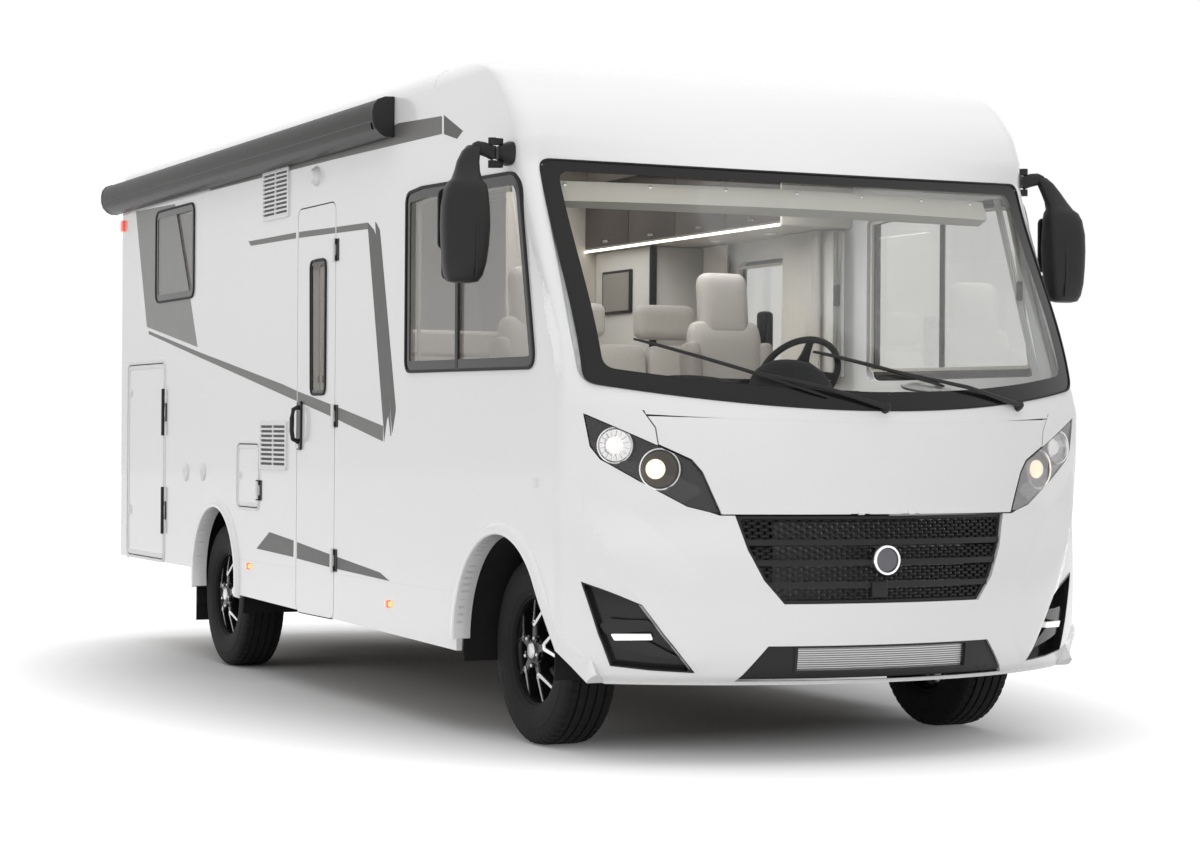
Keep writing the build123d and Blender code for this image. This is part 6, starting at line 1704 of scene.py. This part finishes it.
def curtain(name, x, y0, y1, z0, z1, folds, sway):
    """Hanging cloth with soft folds, gathered on its rail."""
    bar = ring_tube(f"{name}_rail", [(x, y0 - 0.01, z1 + 0.004), (x, y1 + 0.01, z1 + 0.004)], 0.006, M["chrome_dull"],
        sides=10)
    n, rows = folds * 10, 14
    bm = bmesh.new()
    grid = []
    for j in range(rows + 1):
        u = j / rows
        line = []
        for i in range(n + 1):
            t = i / n
            a = 2 * math.pi * folds * t
            amp = sway * (0.75 + 0.25 * u + 0.12 * math.sin(5 * t + 3 * u))
            line.append(bm.verts.new((x + amp * math.sin(a + 0.4 * math.sin(3 * u)),
                        y0 + (y1 - y0) * t + 0.2 * amp * math.sin(2 * a), z1 - (z1 - z0) * u)))
        grid.append(line)
    for a, b in zip(grid, grid[1:]):
        for i in range(n):
            bm.faces.new((a[i], a[i + 1], b[i + 1], b[i]))
    area = sum(f.calc_area() for f in bm.faces)
    o = from_bm(name, bm, M["curtain"], ROOT, 80)
    return o


curtain("curtain_left", 1.04, aft(1.4), aft(1.65), 1.47, 2.186, 7, 0.018)
curtain("curtain_left_rear", 1.07, aft(2.3), aft(2.54), 1.47, 2.186, 6, 0.018)
curtain("curtain_cab_left", 1.02, aft(1.29), aft(1.37), 1.42, 2.186, 3, 0.022)

# dash top: binnacle, screen, vents
DASH = 1.3           # top of the dashboard


def hump(name, cx, across, rises, sections, **look):
    """Rounded rise on the dashboard through sections of (y, half width, height)."""
    loft_rings(name, [[(cx + sx * w, y, DASH + h * rise) for sx, rise in zip(across, rises)]
            + [(cx + sx * w * 0.9, y, DASH - 0.01) for sx in (1, 0, -1)] for y, w, h in sections],
        M["dash"], ROOT, "black_plastic", **look)


hump("binnacle", 0.48, (-1, -0.92, -0.6, 0, 0.6, 0.92, 1), (0, 0.72, 0.97, 1, 0.97, 0.72, 0),
    [(aft(0.06), 0.15, 0.02), (aft(0.09), 0.185, 0.07), (aft(0.15), 0.2, 0.105), (aft(0.205), 0.205, 0.12),
        (aft(0.215), 0.2, 0.115)], smooth=50)
for k, (mx, mw, mh) in enumerate(((-0.28, 0.3, 0.175), (0.19, 0.2, 0.25), (0.8, 0.34, 0.118))):
    hump(f"dash_hump_{k}", mx, (-1, -0.93, -0.75, -0.35, 0, 0.35, 0.75, 0.93, 1),
        (0, 0.55, 0.85, 0.98, 1, 0.98, 0.85, 0.55, 0),
        [(aft(y), mw * w, mh * h) for y, w, h in ((-0.06, 0.8, 0.3), (-0.02, 0.92, 0.72), (0.04, 1, 0.95),
                (0.1, 1, 1),
                (0.16, 0.96, 0.92))], smooth=60, subdiv=1)
tray = lathe("dash_tray", [(0.0, 0.0005), (0.002, 0.095), (0.01, 0.1), (0.012, 0.094), (0.005, 0.088),
        (0.004, 0.0005)], (0, 0, 0), "z",
    M["chrome_dull"], segments=48)
tray.data.transform(Matrix.Translation((0.78, aft(-0.01), 1.424)) @ Matrix.Rotation(math.radians(18), 4,
        "X") @ Matrix.Diagonal((1.0, 0.6, 1.0, 1.0)))
inside_box("dash_screen", (-0.14, aft(0.15), 1.305), (0.14, aft(0.168), 1.46), M["black"], 0.008)
inside_box("dash_screen_foot", (-0.06, aft(0.11), 1.29), (0.06, aft(0.155), 1.33), M["dash"], 0.008)
for x in (-0.9, -0.3, 0.27, 0.86):
    inside_box(f"dash_vent_{int(x * 100)}", (x - 0.065, aft(0.168), 1.215), (x + 0.065, aft(0.176), 1.29),
        M["satin_black"], 0.006)
    for k in range(5):
        inside_box(f"dash_blade_{int(x * 100)}_{k}", (x - 0.056, aft(0.172), 1.228 + k * 0.012),
            (x + 0.056, aft(0.18), 1.231 + k * 0.012), M["dash"], 0.001)
inside_box("glove_lid", (-0.72, aft(0.168), 1.075), (-0.3, aft(0.178), 1.19), M["dash"], 0.008)


# ---- camera and stage
YAW, PITCH, ROLL = math.radians(25.2605), math.radians(0.1486), math.radians(0.3757)
CAMERA = Vector((-5.1428, -11.7688, 1.2307))
fwd = Vector((math.sin(YAW) * math.cos(PITCH), math.cos(YAW) * math.cos(PITCH), math.sin(PITCH)))
right = Vector((math.cos(YAW), -math.sin(YAW), 0))
up = right.cross(fwd)
R = math.cos(ROLL) * right + math.sin(ROLL) * up
U = -math.sin(ROLL) * right + math.cos(ROLL) * up
cam_data = bpy.data.cameras.new("photo_camera")
cam = bpy.data.objects.new("photo_camera", cam_data)
scene.collection.objects.link(cam)
cam.matrix_world = Matrix.Translation(CAMERA) @ Matrix((R, U, -fwd)).transposed().to_4x4()
cam_data.lens = 78.126
cam_data.sensor_width = 36.0
cam_data.shift_x = -0.00098
cam_data.shift_y = -0.0003
cam_data.clip_end = 200
scene.camera = cam


def plain_rays(t):
    """1 for the rays that show the background: from the camera, a gloss or a glass."""
    path = t.nodes.new("ShaderNodeLightPath")
    first = node(t, "ShaderNodeMath", operation="MAXIMUM")
    last = node(t, "ShaderNodeMath", operation="MAXIMUM")
    t.links.new(path.outputs["Is Camera Ray"], first.inputs[0])
    t.links.new(path.outputs["Is Transmission Ray"], first.inputs[1])
    t.links.new(first.outputs[0], last.inputs[0])
    t.links.new(path.outputs["Is Glossy Ray"], last.inputs[1])
    return last.outputs[0]


bm = bmesh.new()
bmesh.ops.create_grid(bm, x_segments=4, y_segments=4, size=60)
me = bpy.data.meshes.new("floor_plane")
bm.to_mesh(me)
bm.free()
ground = bpy.data.objects.new("studio_floor", me)
scene.collection.objects.link(ground)
# pale floor: its white glow is held back within a ring round the vehicle, so the grey floor there is painted shadow
# added to the shadow the lamps cast; farther off it glows evenly white
gm, gt, gout = tree("studio_floor")
gd = gt.nodes.new("ShaderNodeBsdfDiffuse")
gd.inputs["Color"].default_value = (0.66, 0.66, 0.66, 1)
where = gt.nodes.new("ShaderNodeTexCoord")
flat = node(gt, "ShaderNodeVectorMath", operation="MULTIPLY")
flat.inputs[1].default_value = (1.0, 0.62, 0.0)
span = node(gt, "ShaderNodeVectorMath", operation="LENGTH")
painted_shadow_fade = gt.nodes.new("ShaderNodeMapRange")
painted_shadow_fade.interpolation_type = "SMOOTHSTEP"
painted_shadow_fade.inputs["From Min"].default_value = 1.3
painted_shadow_fade.inputs["From Max"].default_value = 3.5
painted_shadow_fade.inputs["To Min"].default_value = 0.0
painted_shadow_fade.inputs["To Max"].default_value = 0.95
glow = node(gt, "ShaderNodeEmission", Color=(1, 1, 1, 1))
shown = node(gt, "ShaderNodeMath", operation="MULTIPLY")
both_shaders = gt.nodes.new("ShaderNodeAddShader")
gt.links.new(where.outputs["Object"], flat.inputs[0])
gt.links.new(flat.outputs[0], span.inputs[0])
gt.links.new(span.outputs["Value"], painted_shadow_fade.inputs["Value"])
gt.links.new(painted_shadow_fade.outputs["Result"], shown.inputs[0])
gt.links.new(plain_rays(gt), shown.inputs[1])
gt.links.new(shown.outputs[0], glow.inputs["Strength"])
gt.links.new(gd.outputs[0], both_shaders.inputs[0])
gt.links.new(glow.outputs[0], both_shaders.inputs[1])
gt.links.new(both_shaders.outputs[0], gout.inputs[0])
me.materials.append(gm)
ground.location.z = -0.0005


def area(name, place, target, size_x, size_y, power, visible=True):
    ld = bpy.data.lights.new(name, "AREA")
    ld.shape = "RECTANGLE"
    ld.size, ld.size_y, ld.energy = size_x, size_y, power
    o = bpy.data.objects.new(name, ld)
    scene.collection.objects.link(o)
    o.location = place
    o.rotation_euler = (Vector(target) - Vector(place)).to_track_quat("-Z", "Y").to_euler()
    o.visible_glossy = visible
    return o


lights = [area("overhead", (0, -1.0, 7.0), (0, -1.0, 0), 10, 14, 430, False),
    area("front_fill", (-3.0, -12.0, 4.5), (0, -3, 1.2), 8, 5, 280, False),
    area("side_fill", (-11.0, -1.0, 4.0), (0, 0.5, 1.2), 10, 4, 200, False),
    area("cabin_lamp", (0.0, 0.4, 2.55), (0, 0.2, 0), 1.2, 3.6, 26, False),
    area("cab_lamp", (0.0, -1.4, 2.35), (0, -1.2, 0), 1.4, 0.8, 14, False)]

world = bpy.data.worlds.new("studio")
scene.world = world
world.use_nodes = True
wt = world.node_tree
wt.nodes.clear()
wout = wt.nodes.new("ShaderNodeOutputWorld")
soft = node(wt, "ShaderNodeBackground", Color=(1, 1, 1, 1), Strength=0.47)
plain = node(wt, "ShaderNodeBackground", Color=(1, 1, 1, 1), Strength=1.0)
mix = wt.nodes.new("ShaderNodeMixShader")
wt.links.new(plain_rays(wt), mix.inputs[0])
wt.links.new(soft.outputs[0], mix.inputs[1])
wt.links.new(plain.outputs[0], mix.inputs[2])
wt.links.new(mix.outputs[0], wout.inputs[0])

scene.view_settings.view_transform = "Standard"
